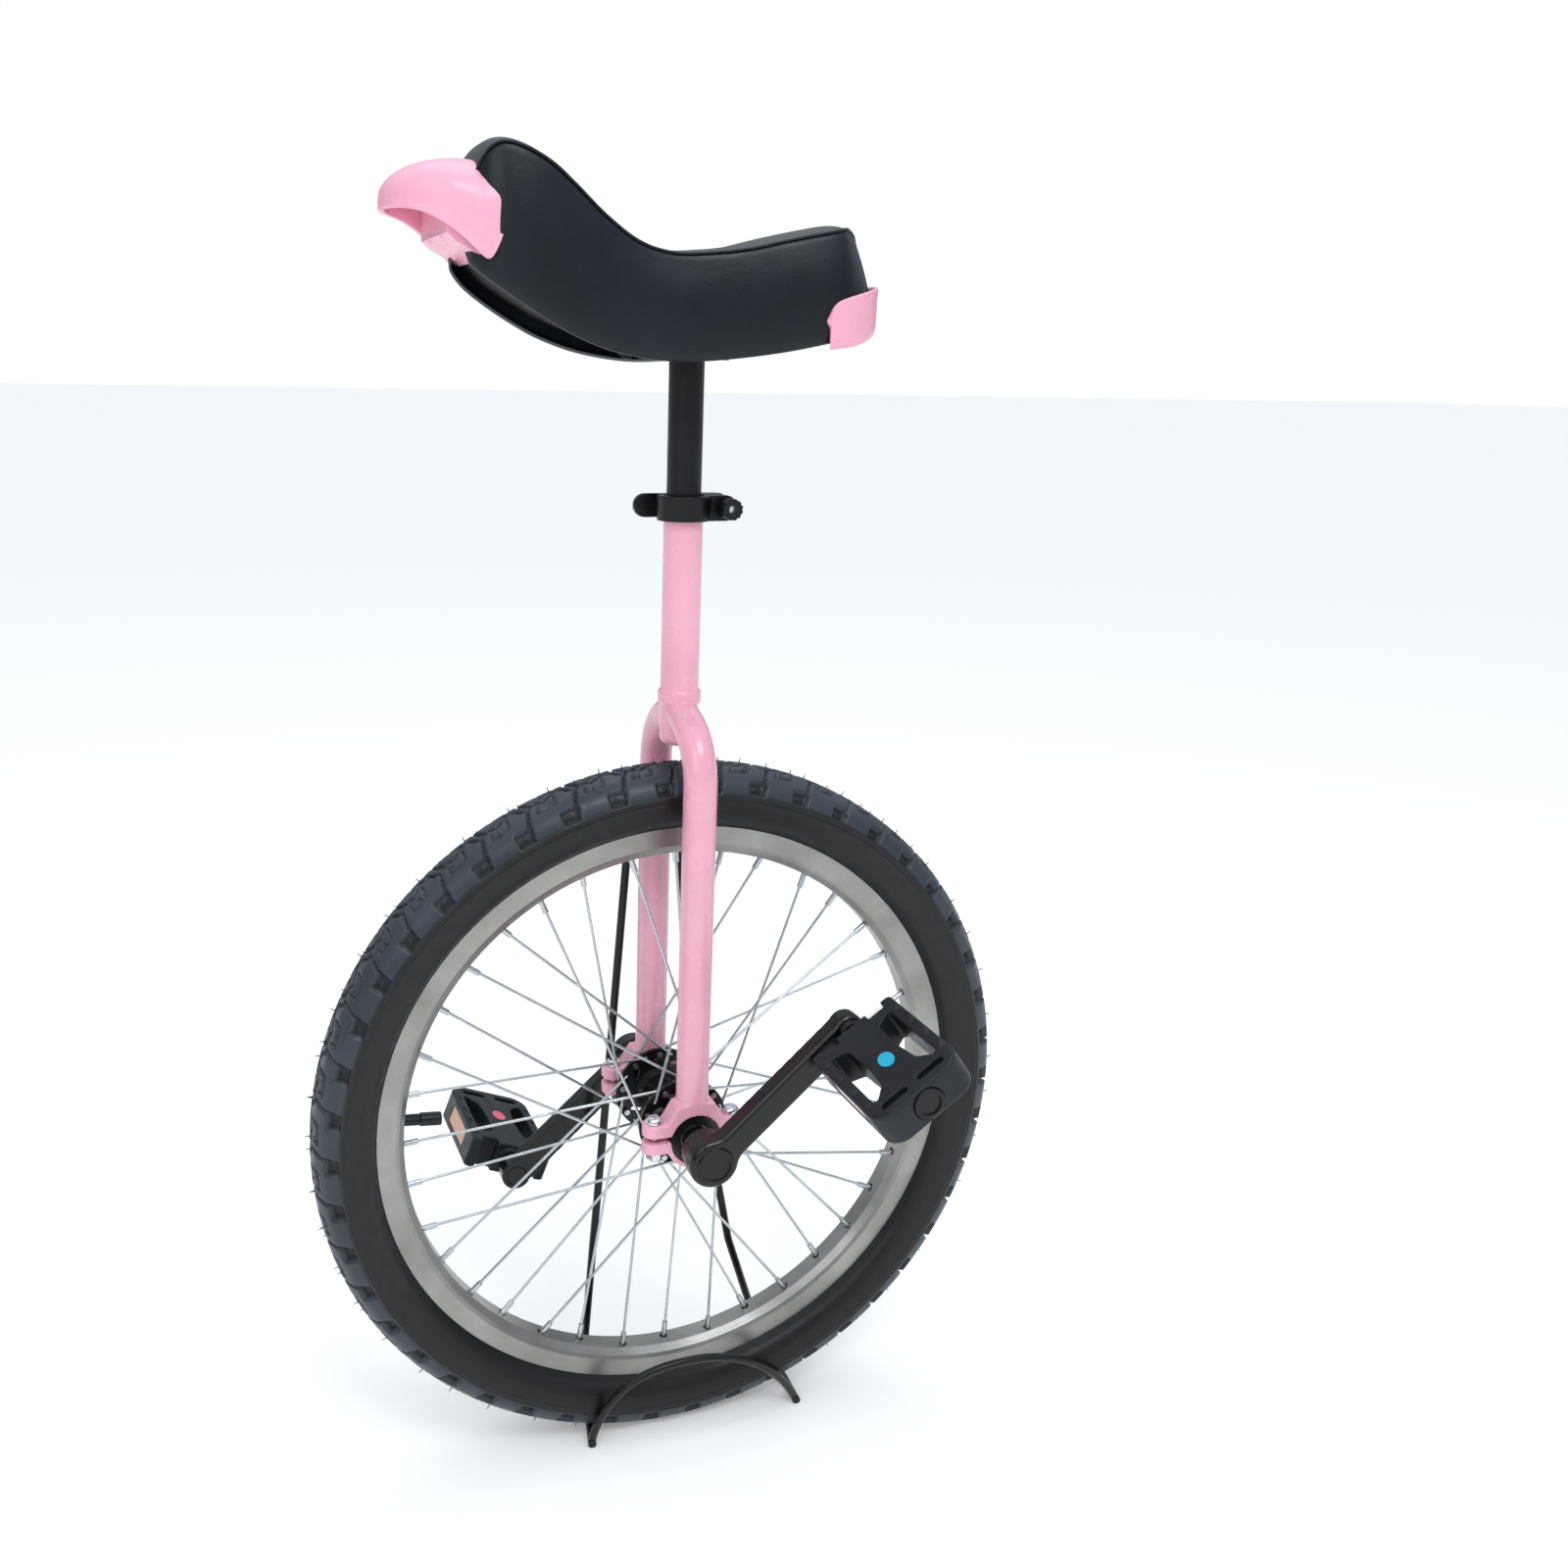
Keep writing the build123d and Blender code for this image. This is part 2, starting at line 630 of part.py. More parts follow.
def make_bearing_holder(side_name):
    """Upper half of a bearing holder: an arch over the bearing, two bolt lugs and a seat for the leg."""
    side = SIDES[side_name]
    lug_low, lug_high = 4.5, 13.5
    inner_y = side * (BEARING_Y - HOLDER_HALF)
    with BuildPart() as holder:
        with BuildSketch(Plane(origin=(0, inner_y, AXLE_Z), x_dir=(-side, 0, 0), z_dir=(0, side, 0))):
            Circle(HOLDER_R)
            with Locations((0, (lug_low + lug_high) / 2)):
                Rectangle(2 * LUG_END, lug_high - lug_low)
            with BuildLine():
                Polyline((-22, lug_high - 2), (-13, 26), (13, 26), (22, lug_high - 2), (-22, lug_high - 2))
            make_face()
            Circle(BEARING_R + 0.05, mode=Mode.SUBTRACT)
            with Locations((0, lug_low - 30)):
                Rectangle(2 * LUG_END, 60, mode=Mode.SUBTRACT)
        extrude(amount=2 * HOLDER_HALF)
        fillet(lug_corners(holder), 7.5)
        with BuildSketch(Plane.XY.offset(LEG_FOOT_Z - 9)):
            with Locations((0, side * LEG_Y)):
                Circle(LEG_R)
        extrude(amount=9)
        with BuildSketch(Plane.XY.offset(AXLE_Z)):
            with Locations((-LUG_X, side * BEARING_Y), (LUG_X, side * BEARING_Y)):
                Circle(3.2)
        extrude(amount=40, mode=Mode.SUBTRACT)
    save(holder.part, f"bearing_holder_{side_name}")


def make_bearing_cap(side_name):
    """Lower bearing cap: a strap under the bearing with two bolt lugs."""
    side = SIDES[side_name]
    lug_low, lug_high = -7.5, 0.5
    inner_y = side * (BEARING_Y - HOLDER_HALF)
    with BuildPart() as cap:
        with BuildSketch(Plane(origin=(0, inner_y, AXLE_Z), x_dir=(-side, 0, 0), z_dir=(0, side, 0))):
            Circle(HOLDER_R)
            with Locations((0, (lug_low + lug_high) / 2)):
                Rectangle(2 * LUG_END, lug_high - lug_low)
            Circle(BEARING_R + 0.05, mode=Mode.SUBTRACT)
            with Locations((0, lug_high + 30)):
                Rectangle(2 * LUG_END, 60, mode=Mode.SUBTRACT)
        extrude(amount=2 * HOLDER_HALF)
        fillet(lug_corners(cap), 7.5)
        with BuildSketch(Plane.XY.offset(AXLE_Z - 30)):
            with Locations((-LUG_X, side * BEARING_Y), (LUG_X, side * BEARING_Y)):
                Circle(3.2)
        extrude(amount=40, mode=Mode.SUBTRACT)
    save(cap.part, f"bearing_cap_{side_name}")


def bolt_places():
    """The four bearing bolts, in plan."""
    return [(x, side * BEARING_Y) for side in SIDES.values() for x in (-LUG_X, LUG_X)]


def make_cap_bolts():
    """Dome-headed bolts down through both halves of each holder."""
    head_z = AXLE_Z + 13.5
    with BuildPart() as bolts:
        with BuildSketch(Plane.XY.offset(head_z)):
            with Locations(*bolt_places()):
                Circle(6.0)
        extrude(amount=4.5)
        fillet(bolts.edges().group_by(Axis.Z)[-1], 3.5)
        with BuildSketch(Plane.XY.offset(head_z)):
            with Locations(*bolt_places()):
                Circle(2.95)
        extrude(amount=-29)
    save(bolts.part, "bearing_cap_bolts")


def make_cap_nuts():
    """Hexagon nuts under the bearing caps."""
    with BuildPart() as nuts:
        with BuildSketch(Plane.XY.offset(AXLE_Z - 7.5)):
            with Locations(*bolt_places()):
                RegularPolygon(5.7, 6)
                Circle(3.0, mode=Mode.SUBTRACT)
        extrude(amount=-5)
    save(nuts.part, "bearing_cap_nuts")


# ================= seat clamp =================

def make_seat_clamp():
    """Split collar with two ears behind it for the quick-release skewer."""
    low = CLAMP_Z - CLAMP_H / 2
    with BuildPart() as clamp:
        with BuildSketch(Plane.XY.offset(low)):
            Circle(CLAMP_R)
            with Locations((-22.5, 0)):
                Rectangle(20, 18)
        extrude(amount=CLAMP_H)
        ear_corners = clamp.edges().filter_by(Axis.Y).sort_by(Axis.X)[0:2]
        fillet(ear_corners, 6)
        fillet(clamp.edges().filter_by(GeomType.CIRCLE).group_by(Axis.Z)[-1], 1)
        with BuildSketch(Plane.XY.offset(low)):
            Circle(TUBE_R + 0.05)
            with Locations((-25, 0)):
                Rectangle(30, 3)
        extrude(amount=CLAMP_H, mode=Mode.SUBTRACT)
        with Locations(Location((SKEWER_X, 0, CLAMP_Z), (90, 0, 0))):
            Cylinder(2.7, 30, mode=Mode.SUBTRACT)
    save(clamp.part, "seat_clamp")


def make_skewer():
    """Skewer: a rod through the ears with a cross-drilled eye for the lever's pin on the right."""
    with BuildPart() as skewer:
        with BuildSketch(Plane(origin=(SKEWER_X, -12, CLAMP_Z), z_dir=(0, 1, 0))):
            Circle(2.5)
        extrude(amount=29)
        with BuildSketch(Plane(origin=(SKEWER_X, -17, CLAMP_Z - 4), z_dir=(0, 0, 1))):
            Circle(5)
            Circle(2.5, mode=Mode.SUBTRACT)
        extrude(amount=8)
        with BuildSketch(Plane(origin=(SKEWER_X, -12, CLAMP_Z), z_dir=(0, -1, 0))):
            Circle(2.5)
        extrude(amount=1)
    save(skewer.part, "quick_release_skewer")


def make_skewer_nut():
    """Round grooved nut on the skewer's left end."""
    with BuildPart() as nut:
        with BuildSketch(Plane(origin=(SKEWER_X, 9, CLAMP_Z), z_dir=(0, 1, 0))):
            Circle(6.8)
            with PolarLocations(7.2, 12):
                Circle(1.0, mode=Mode.SUBTRACT)
        extrude(amount=11)
        with BuildSketch(Plane(origin=(SKEWER_X, 9, CLAMP_Z), z_dir=(0, 1, 0))):
            Circle(2.55)
        extrude(amount=11, mode=Mode.SUBTRACT)
    save(nut.part, "quick_release_nut")


def make_lever():
    """Quick-release lever: two cam cheeks round the skewer's eye, a pin and a blade along the collar."""
    pivot = (SKEWER_X, -17)
    with BuildPart() as lever:
        for cheek_z in (CLAMP_Z - 7.6, CLAMP_Z + 4.3):
            with BuildSketch(Plane.XY.offset(cheek_z)):
                with Locations(pivot):
                    Circle(6.5)
                with Locations((SKEWER_X + 7, -20.7)):
                    Rectangle(14, 5.6)
            extrude(amount=3.3)
        with BuildSketch(Plane.XY.offset(CLAMP_Z - 7.6)):
            with Locations(pivot):
                Circle(2.45)
        extrude(amount=15.2)
        with BuildSketch(Plane(origin=(0, -18.5, CLAMP_Z), x_dir=(1, 0, 0), z_dir=(0, -1, 0))):
            with Locations((4.5, 0)):
                SlotOverall(45, 15.2)
        extrude(amount=4.4)
    save(lever.part, "quick_release_lever")


# ================= seatpost and saddle =================

def make_seatpost():
    """Seatpost tube."""
    with BuildPart() as seatpost:
        with BuildSketch(Plane.XY.offset(POST_LOW_Z)):
            Circle(POST_R)
            Circle(POST_R - 1.6, mode=Mode.SUBTRACT)
        extrude(amount=PLATE_Z - POST_LOW_Z)
    save(seatpost.part, "seatpost")


def make_bracket():
    """Top plate welded on the seatpost, drilled for the saddle's studs."""
    with BuildPart() as bracket:
        with BuildSketch(Plane.XY.offset(PLATE_Z)):
            with Locations((PLATE_MID_X, 0)):
                RectangleRounded(72, 48, 8)
            with Locations(*STUDS):
                Circle(3.3, mode=Mode.SUBTRACT)
        extrude(amount=PLATE_T)
    save(bracket.part, "seatpost_bracket")


def saddle_body(grow, floor_shift, thickness=None):
    """Saddle-shaped solid through the stations, grown outwards all round, with its lower edge shifted.

    A thickness replaces the stations' upper edge, for a sheet that follows the lower one.
    """
    last = len(SADDLE) - 1
    with BuildPart() as body:
        for index, (x, low, high, half) in enumerate(SADDLE):
            if index in (0, last):
                x += grow if index == 0 else -grow
            floor = low + floor_shift
            roof = high + grow if thickness is None else floor + thickness
            height = roof - floor
            middle = (x, 0, (floor + roof) / 2)
            with BuildSketch(Plane(origin=middle, x_dir=(0, 1, 0), z_dir=(1, 0, 0))) as station:
                Rectangle(2 * (half + grow), height)
                fillet(station.vertices().group_by(Axis.Y)[-1], min(18.0, 0.42 * height))
                fillet(station.vertices().group_by(Axis.Y)[0], min(4.0, 0.4 * height))
        loft()
    return body.part


def cover_inside():
    """The room inside the cover, running out below its lower edge."""
    return saddle_body(-COVER_T, -8)


def base_sheet():
    """Sheet of the saddle's base, following the cover's lower edge."""
    return saddle_body(-COVER_T - FOAM_GAP, BASE_RISE, BASE_T)


def make_saddle_cover():
    """Vinyl cover: a thin skin over the foam, open underneath."""
    outside = saddle_body(0, 0)
    inside = cover_inside()
    with BuildPart() as cover:
        add(outside)
        add(inside, mode=Mode.SUBTRACT)
    save(cover.part, "saddle_cover")


def make_saddle_foam():
    """Foam core between the cover and the base, hollowed for the base's pad."""
    core = saddle_body(-COVER_T - FOAM_GAP, BASE_RISE + BASE_T + FOAM_GAP)
    room = cover_inside()
    sheet = base_sheet()
    with BuildPart() as foam:
        add(core)
        add(room, mode=Mode.INTERSECT)
        add(sheet, mode=Mode.SUBTRACT)
        with Locations((PLATE_MID_X, 0, PLATE_Z)):
            Box(82, 56, 24, mode=Mode.SUBTRACT)
    save(foam.part, "saddle_foam")


def make_saddle_base():
    """Plastic base that follows the saddle's curve, with a flat pad for the seatpost's plate."""
    sheet = base_sheet()
    pad_low = PLATE_Z + PLATE_T
    with BuildPart() as base:
        add(sheet)
        with BuildSketch(Plane.XY.offset(pad_low)) as pad:
            with Locations((PLATE_MID_X, 0)):
                RectangleRounded(78, 52, 8)
        extrude(amount=7)
        extrude(pad.sketch, amount=-PLATE_T, mode=Mode.SUBTRACT)
        with BuildSketch(Plane.XY.offset(pad_low - 3)):
            with Locations(*STUDS):
                Circle(3.1)
        extrude(amount=8, mode=Mode.SUBTRACT)
        with BuildSketch(Plane.XY.offset(pad_low + 4)):
            with Locations(*STUDS):
                Circle(6.1)
        extrude(amount=8, mode=Mode.SUBTRACT)
    save(base.part, "saddle_base")


def make_studs_and_nuts():
    """Four studs set in the base and the nuts that hold the post's plate."""
    head_z = PLATE_Z + PLATE_T + 4
    with BuildPart() as studs:
        with BuildSketch(Plane.XY.offset(head_z)):
            with Locations(*STUDS):
                Circle(6.0)
        extrude(amount=2)
        with BuildSketch(Plane.XY.offset(head_z)):
            with Locations(*STUDS):
                Circle(3.0)
        extrude(amount=-13)
    save(studs.part, "saddle_studs")
    with BuildPart() as nuts:
        with BuildSketch(Plane.XY.offset(PLATE_Z)):
            with Locations(*STUDS):
                RegularPolygon(5.7, 6)
                Circle(3.05, mode=Mode.SUBTRACT)
        extrude(amount=-4)
    save(nuts.part, "saddle_nuts")


def handle_envelope(wall):
    """Upright prism on the front handle's plan under an arched roof, drawn in by a wall thickness."""
    half, nose, tail = 51.0 - wall, 188.0 - wall, 118.0
    crown, eaves = 868.0 - wall, 842.0 - wall
    with BuildPart() as envelope:
        with BuildSketch(Plane.XY.offset(780)):
            with BuildLine():
                straight = Line((tail, half), (146, half))
                Spline(straight @ 1, (175, 0.72 * half), (nose, 0), tangents=((1, 0), (0, -1)))
                mirror(about=Plane.XZ)
                Line((tail, half), (tail, -half))
            make_face()
        extrude(amount=100)
        with BuildSketch(Plane.YZ):
            with BuildLine():
                arch = ThreePointArc((-55, eaves), (0, crown), (55, eaves))
                Polyline(arch @ 1, (55, 780), (-55, 780), arch @ 0)
            make_face()
        extrude(amount=200, mode=Mode.INTERSECT)
    return envelope.part


def make_front_handle():
    """Front handle: a beak over the saddle's nose that hooks forward, hollow below for the fingers."""
    nose_pocket = saddle_body(BUMPER_GAP, -BUMPER_DROP)
    cover_outside = saddle_body(0, 0)
    outer_envelope = handle_envelope(0)
    inner_envelope = handle_envelope(3.6)
    with BuildPart() as finger_space:
        with BuildSketch(Plane.XZ.offset(-60)):
            with BuildLine():
                Polyline((153, 796), (153, 859), (160, 861), (173, 857), (184.5, 844), (184.5, 796),
                         (153, 796))
            make_face()
        extrude(amount=120)
        add(inner_envelope, mode=Mode.INTERSECT)
    with BuildPart() as handle:
        with BuildSketch(Plane.XZ.offset(-60)):
            with BuildLine():
                top = Spline((187, 845), (177, 859.5), (158, 866), (138, 867.5))
                back = ThreePointArc(top @ 1, (125, 836), (134, 809))
                under = Spline(back @ 1, (150, 820), (167, 830), (183, 836))
                Line(under @ 1, top @ 0)
            make_face()
        extrude(amount=120)
        add(outer_envelope, mode=Mode.INTERSECT)
        add(finger_space.part, mode=Mode.SUBTRACT)
        add(nose_pocket, mode=Mode.SUBTRACT)
        add(cover_outside, mode=Mode.SUBTRACT)
    save(handle.part, "front_handle")


def make_rear_bumper():
    """Rear bumper: a band round the saddle's tail and its lower corners."""
    outside = saddle_body(BUMPER_GAP + BUMPER_T, -1)
    inside = saddle_body(BUMPER_GAP, -BUMPER_DROP)
    with BuildPart() as bumper:
        with BuildSketch(Plane.XZ.offset(-70)):
            with BuildLine():
                Polyline((-66, 760), (-71, 786), (-78, 794), (-100, 803), (-124, 807), (-124, 766),
                         (-66, 760))
            make_face()
        extrude(amount=140)
        add(outside, mode=Mode.INTERSECT)
        add(inside, mode=Mode.SUBTRACT)
    save(bumper.part, "rear_bumper")


def make_bumper_screws():
    """Self-tapping screws through the handle and the rear bumper into the base."""
    rows = {
        "handle_screws": ((153, 18, 825.5), (-1, 0, -0.8), 16),
        "rear_bumper_screws": ((-115.4, 17, 792.5), (1, 0, 0), 14),
    }
    for name, ((x, y, z), direction, length) in rows.items():
        with BuildPart() as screws:
            for side in SIDES.values():
                with BuildSketch(Plane(origin=(x, side * y, z), z_dir=direction)):
                    Circle(2.0)
                extrude(amount=length)
                with BuildSketch(Plane(origin=(x, side * y, z), z_dir=direction)):
                    Circle(4.0)
                extrude(amount=-2)
        save(screws.part, name)


# ================= stand =================

def wire(path):
    """Round wire along a path, as its own solid."""
    with BuildPart() as rod:
        with BuildSketch(Plane(origin=path @ 0, z_dir=path % 0)):
            Circle(WIRE_R)
        sweep(path=path)
    return rod.part


def make_low_hoop():
    """Low hoop: an arch that leans out beside the tyre on the left."""
    rise = [
        (FRONT_FOOT[0], WIRE_R), (56.5, 28), (38, 53), (-7, 65), (-46, 56), (-77, 33), (REAR_FOOT[0], WIRE_R),
    ]
    with BuildLine() as path:
        Spline(*[(x, LOW_FOOT_Y + LOW_LEAN * (z - WIRE_R), z) for x, z in rise])
    save(wire(path.line), "stand_low_hoop")


def make_tall_hoop():
    """Tall hoop: two rods up beside the right fork leg, closed in a hairpin and splayed at the foot."""
    corners = [
        (FRONT_FOOT[1], WIRE_R), (39, 100), (31, 205), (12.5, 463),
        (-19.5, 463), (-42, 251), (-73, 95), (REAR_FOOT[1], WIRE_R),
    ]
    with BuildLine() as path:
        FilletPolyline(*[(x, TALL_Y, z) for x, z in corners], radius=[40, 60, 13, 13, 60, 40])
    save(wire(path.line), "stand_tall_hoop")


def make_rails():
    """Two rails on the floor under the tyre, joining the hoops' feet."""
    for name, (near_x, far_x) in {"stand_front_rail": FRONT_FOOT, "stand_rear_rail": REAR_FOOT}.items():
        splay = (near_x - far_x) / (LOW_FOOT_Y - TALL_Y)
        tip_x = near_x + splay * (RAIL_TIP_Y - LOW_FOOT_Y)
        with BuildLine() as path:
            Line((tip_x, RAIL_TIP_Y, WIRE_R), (far_x, TALL_Y, WIRE_R))
        save(wire(path.line), name)


make_tyre()
make_inner_tube()
make_rim()
make_rim_tape()
make_valve()
make_nipples()
make_hub_shell()
make_axle()
make_bearings()
make_crank_bolts()
make_dust_caps()
make_pedals()
make_seat_tube()
make_cap_bolts()
make_cap_nuts()
make_seat_clamp()
make_skewer()
make_skewer_nut()
make_lever()
make_seatpost()
make_bracket()
make_saddle_cover()
make_saddle_foam()
make_saddle_base()
make_studs_and_nuts()
make_front_handle()
make_rear_bumper()
make_bumper_screws()
make_low_hoop()
make_tall_hoop()
make_rails()
for side_name in SIDES:
    make_spokes(side_name)
    make_crank(side_name)
    make_fork_leg(side_name)
    make_bearing_holder(side_name)
    make_bearing_cap(side_name)
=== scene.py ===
import json
from math import cos, pi, radians, sin

import bmesh
import bpy
import numpy as np
from mathutils import Matrix, Vector


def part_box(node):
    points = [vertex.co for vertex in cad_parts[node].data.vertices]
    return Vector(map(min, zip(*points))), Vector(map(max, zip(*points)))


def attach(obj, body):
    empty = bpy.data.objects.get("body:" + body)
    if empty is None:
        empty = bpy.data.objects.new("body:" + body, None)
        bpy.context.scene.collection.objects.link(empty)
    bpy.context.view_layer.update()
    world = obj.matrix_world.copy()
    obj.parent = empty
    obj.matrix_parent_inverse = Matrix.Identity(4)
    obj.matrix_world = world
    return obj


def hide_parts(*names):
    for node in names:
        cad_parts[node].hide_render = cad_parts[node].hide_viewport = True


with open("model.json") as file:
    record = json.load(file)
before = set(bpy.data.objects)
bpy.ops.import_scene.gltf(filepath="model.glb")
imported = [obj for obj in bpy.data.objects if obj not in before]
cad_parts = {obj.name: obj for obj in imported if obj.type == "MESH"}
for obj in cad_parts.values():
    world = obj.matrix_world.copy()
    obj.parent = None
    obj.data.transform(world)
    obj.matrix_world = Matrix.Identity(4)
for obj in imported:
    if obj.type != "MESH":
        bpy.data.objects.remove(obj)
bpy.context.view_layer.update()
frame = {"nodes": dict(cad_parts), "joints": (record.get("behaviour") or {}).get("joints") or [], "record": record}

# Looks for a pink unicycle in its wire floor stand. Everything is in the row frame, in metres: +X is forward,
# +Y is the rider's left, +Z is up, and the floor is at z = 0. Outlines are written in mm and scaled by MM.

MM = 0.001
JOINTS = {joint["name"]: joint for joint in frame["joints"]}
AXLE_Z = JOINTS["wheel_spin"]["pos_m"][2]

# ================= materials =================


def srgb(code):
    """Linear RGBA from a hexadecimal sRGB colour."""
    parts = [int(code[i:i + 2], 16) / 255 for i in (0, 2, 4)]
    linear = [p / 12.92 if p <= 0.04045 else ((p + 0.055) / 1.055) ** 2.4 for p in parts]
    return (*linear, 1.0)


class Surface:
    """A material with procedural colour drift, roughness drift and bump, all in object space."""

    def __init__(self, name, **constants):
        self.material = bpy.data.materials.new(name)
        self.material.use_nodes = True
        self.nodes = self.material.node_tree.nodes
        self.links = self.material.node_tree.links
        self.shader = self.nodes["Principled BSDF"]
        self.coords = self.nodes.new("ShaderNodeTexCoord").outputs["Object"]
        self.height = None
        for socket, value in constants.items():
            self.shader.inputs[socket.replace("_", " ")].default_value = value

    def node(self, kind, inputs=None, **settings):
        """Add a node, setting its properties and its unlinked or linked inputs."""
        made = self.nodes.new("ShaderNode" + kind)
        for key, value in settings.items():
            setattr(made, key, value)
        for key, value in (inputs or {}).items():
            if isinstance(value, bpy.types.NodeSocket):
                self.links.new(value, made.inputs[key])
            else:
                made.inputs[key].default_value = value
        return made

    def stretched(self, scale):
        """Object space scaled by axis."""
        return self.node("Mapping", {"Vector": self.coords, "Scale": scale}).outputs["Vector"]

    def noise(self, scale, detail, vector=None):
        """Noise in object space, or in another space."""
        inputs = {"Vector": vector or self.coords, "Scale": scale, "Detail": detail}
        return self.node("TexNoise", inputs).outputs["Fac"]

    def cells(self, scale, feature="F1"):
        """Distance from the middle of a cell."""
        inputs = {"Vector": self.coords, "Scale": scale}
        return self.node("TexVoronoi", inputs, feature=feature).outputs["Distance"]

    def span(self, value, low, high, to_low, to_high):
        """A value from one range put into another."""
        found = self.node("MapRange", {"Value": value, "From Min": low, "From Max": high,
                                       "To Min": to_low, "To Max": to_high})
        return found.outputs["Result"]

    def math(self, operation, first, second):
        """Sum, product or other operation on two values."""
        return self.node("Math", {0: first, 1: second}, operation=operation).outputs[0]

    def length(self, first, second):
        """Length of the two sides' diagonal."""
        squares = [self.math("MULTIPLY", side, side) for side in (first, second)]
        return self.math("POWER", self.math("ADD", *squares), 0.5)

    def from_axle(self):
        """Distance from the wheel's axis, and the place along it."""
        parts = self.node("SeparateXYZ", {"Vector": self.coords}).outputs
        up = self.math("SUBTRACT", parts["Z"], AXLE_Z)
        return self.length(parts["X"], up), parts["Y"]

    def tint(self, value, stops):
        """Base colour from a value through (place, colour) stops."""
        ramp = self.node("ValToRGB", {"Fac": value})
        ramp.color_ramp.elements[0].position = stops[0][0]
        ramp.color_ramp.elements[0].color = stops[0][1]
        ramp.color_ramp.elements[1].position = stops[-1][0]
        ramp.color_ramp.elements[1].color = stops[-1][1]
        for place, colour in stops[1:-1]:
            ramp.color_ramp.elements.new(place).color = colour
        self.links.new(ramp.outputs["Color"], self.shader.inputs["Base Color"])

    def gloss(self, value, low, high, to_low, to_high):
        """Roughness from a value."""
        self.links.new(self.span(value, low, high, to_low, to_high), self.shader.inputs["Roughness"])

    def bump(self, value, strength, distance):
        """Add a height to the surface, on top of what is there already."""
        inputs = {"Height": value, "Strength": strength, "Distance": distance}
        if self.height is not None:
            inputs["Normal"] = self.height
        self.height = self.node("Bump", inputs).outputs["Normal"]
        self.links.new(self.height, self.shader.inputs["Normal"])


def painted(name, dark, mid, light, rough=0.22, coat=0.5, specular=0.45):
    """Glossy paint: faint colour drift, orange peel and a few duller patches."""
    made = Surface(name, Coat_Weight=coat, Coat_Roughness=0.08, Specular_IOR_Level=specular)
    drift = made.noise(14, 4)
    made.tint(drift, [(0.25, srgb(dark)), (0.5, srgb(mid)), (0.8, srgb(light))])
    made.gloss(made.noise(60, 5), 0.35, 0.7, rough, rough + 0.16)
    made.bump(made.noise(420, 2), 0.08, 0.0006)
    return made.material


def moulded_plastic(name, dark, light, rough=0.42, grain=0.25, specular=0.35):
    """Moulded plastic with a fine spark-eroded texture and faint flow marks."""
    made = Surface(name, Specular_IOR_Level=specular)
    flow = made.noise(9, 3, made.stretched((1, 3, 1)))
    made.tint(flow, [(0.3, srgb(dark)), (0.7, srgb(light))])
    made.gloss(made.noise(90, 4), 0.3, 0.7, rough - 0.06, rough + 0.1)
    made.bump(made.noise(2600, 2), grain, 0.00012)
    made.bump(made.noise(45, 2), 0.06, 0.001)
    return made.material


def vinyl_material():
    """Black vinyl: pebbled grain, soft blue-grey sheen and slight creases."""
    made = Surface("vinyl", Specular_IOR_Level=0.34)
    made.tint(made.noise(16, 4), [(0.3, srgb("080E15")), (0.75, srgb("101923"))])
    made.gloss(made.noise(38, 5), 0.3, 0.75, 0.33, 0.44)
    pebbles = made.cells(1500, feature="SMOOTH_F1")
    made.bump(pebbles, 0.22, 0.00022)
    made.bump(made.noise(55, 3, made.stretched((1, 1, 2.4))), 0.12, 0.0012)
    return made.material


def rubber_material(name, dark, light, rough=0.55, specular=0.3):
    """Moulded rubber: dusty drift, mottled gloss and fine pitting."""
    made = Surface(name, Specular_IOR_Level=specular)
    made.tint(made.noise(22, 6), [(0.3, srgb(dark)), (0.72, srgb(light))])
    made.gloss(made.noise(120, 5), 0.3, 0.7, rough - 0.12, rough + 0.1)
    made.bump(made.noise(1800, 3), 0.2, 0.00018)
    return made.material


TYRE_CENTRE_R = 0.226               # radius of the middle of the tyre's section
PAINTED_SHEEN_REACH = (0.0225, 0.0250)      # the painted sheen, a highlight painted into the colour as lighter blue-grey, starts and is full at these distances from that middle
PAINTED_SHEEN_RADIUS = (0.2335, 0.2365)     # and at these distances from the axle


def tread_material():
    """Tyre rubber with a painted highlight: a lighter blue-grey sheen painted on the tread block tops, while the
    grooves and sidewall keep the darker rubber colour.
    """
    made = Surface("tyre_rubber", Specular_IOR_Level=0.4)
    radius, sideways = made.from_axle()
    reach = made.length(made.math("SUBTRACT", radius, TYRE_CENTRE_R), sideways)
    top = made.span(reach, *PAINTED_SHEEN_REACH, 0.0, 1.0)
    tread = made.span(radius, *PAINTED_SHEEN_RADIUS, 0.0, 1.0)
    drift = made.span(made.noise(22, 6), 0.3, 0.72, 0.7, 1.0)
    # painted sheen: the outer block tops of the crown are painted lighter blue-grey as a highlight, varied by
    # random tone drift
    painted_sheen_mask = made.math("MULTIPLY", made.math("MULTIPLY", top, tread), drift)
    made.tint(painted_sheen_mask, [(0.0, srgb("0B0D10")), (0.5, srgb("22272D")), (1.0, srgb("363D46"))])
    made.gloss(made.noise(120, 5), 0.3, 0.7, 0.32, 0.5)
    made.bump(made.noise(1800, 3), 0.2, 0.00018)
    return made.material


def metal(name, dark, light, rough, stretch, scale=900):
    """Bare or plated metal with fine directional marks."""
    made = Surface(name, Metallic=1.0)
    marks = made.noise(scale, 4, made.stretched(stretch))
    made.tint(made.noise(30, 5), [(0.3, srgb(dark)), (0.72, srgb(light))])
    made.gloss(marks, 0.25, 0.75, rough * 0.7, rough * 1.35)
    made.bump(marks, 0.12, 0.0001)
    return made.material


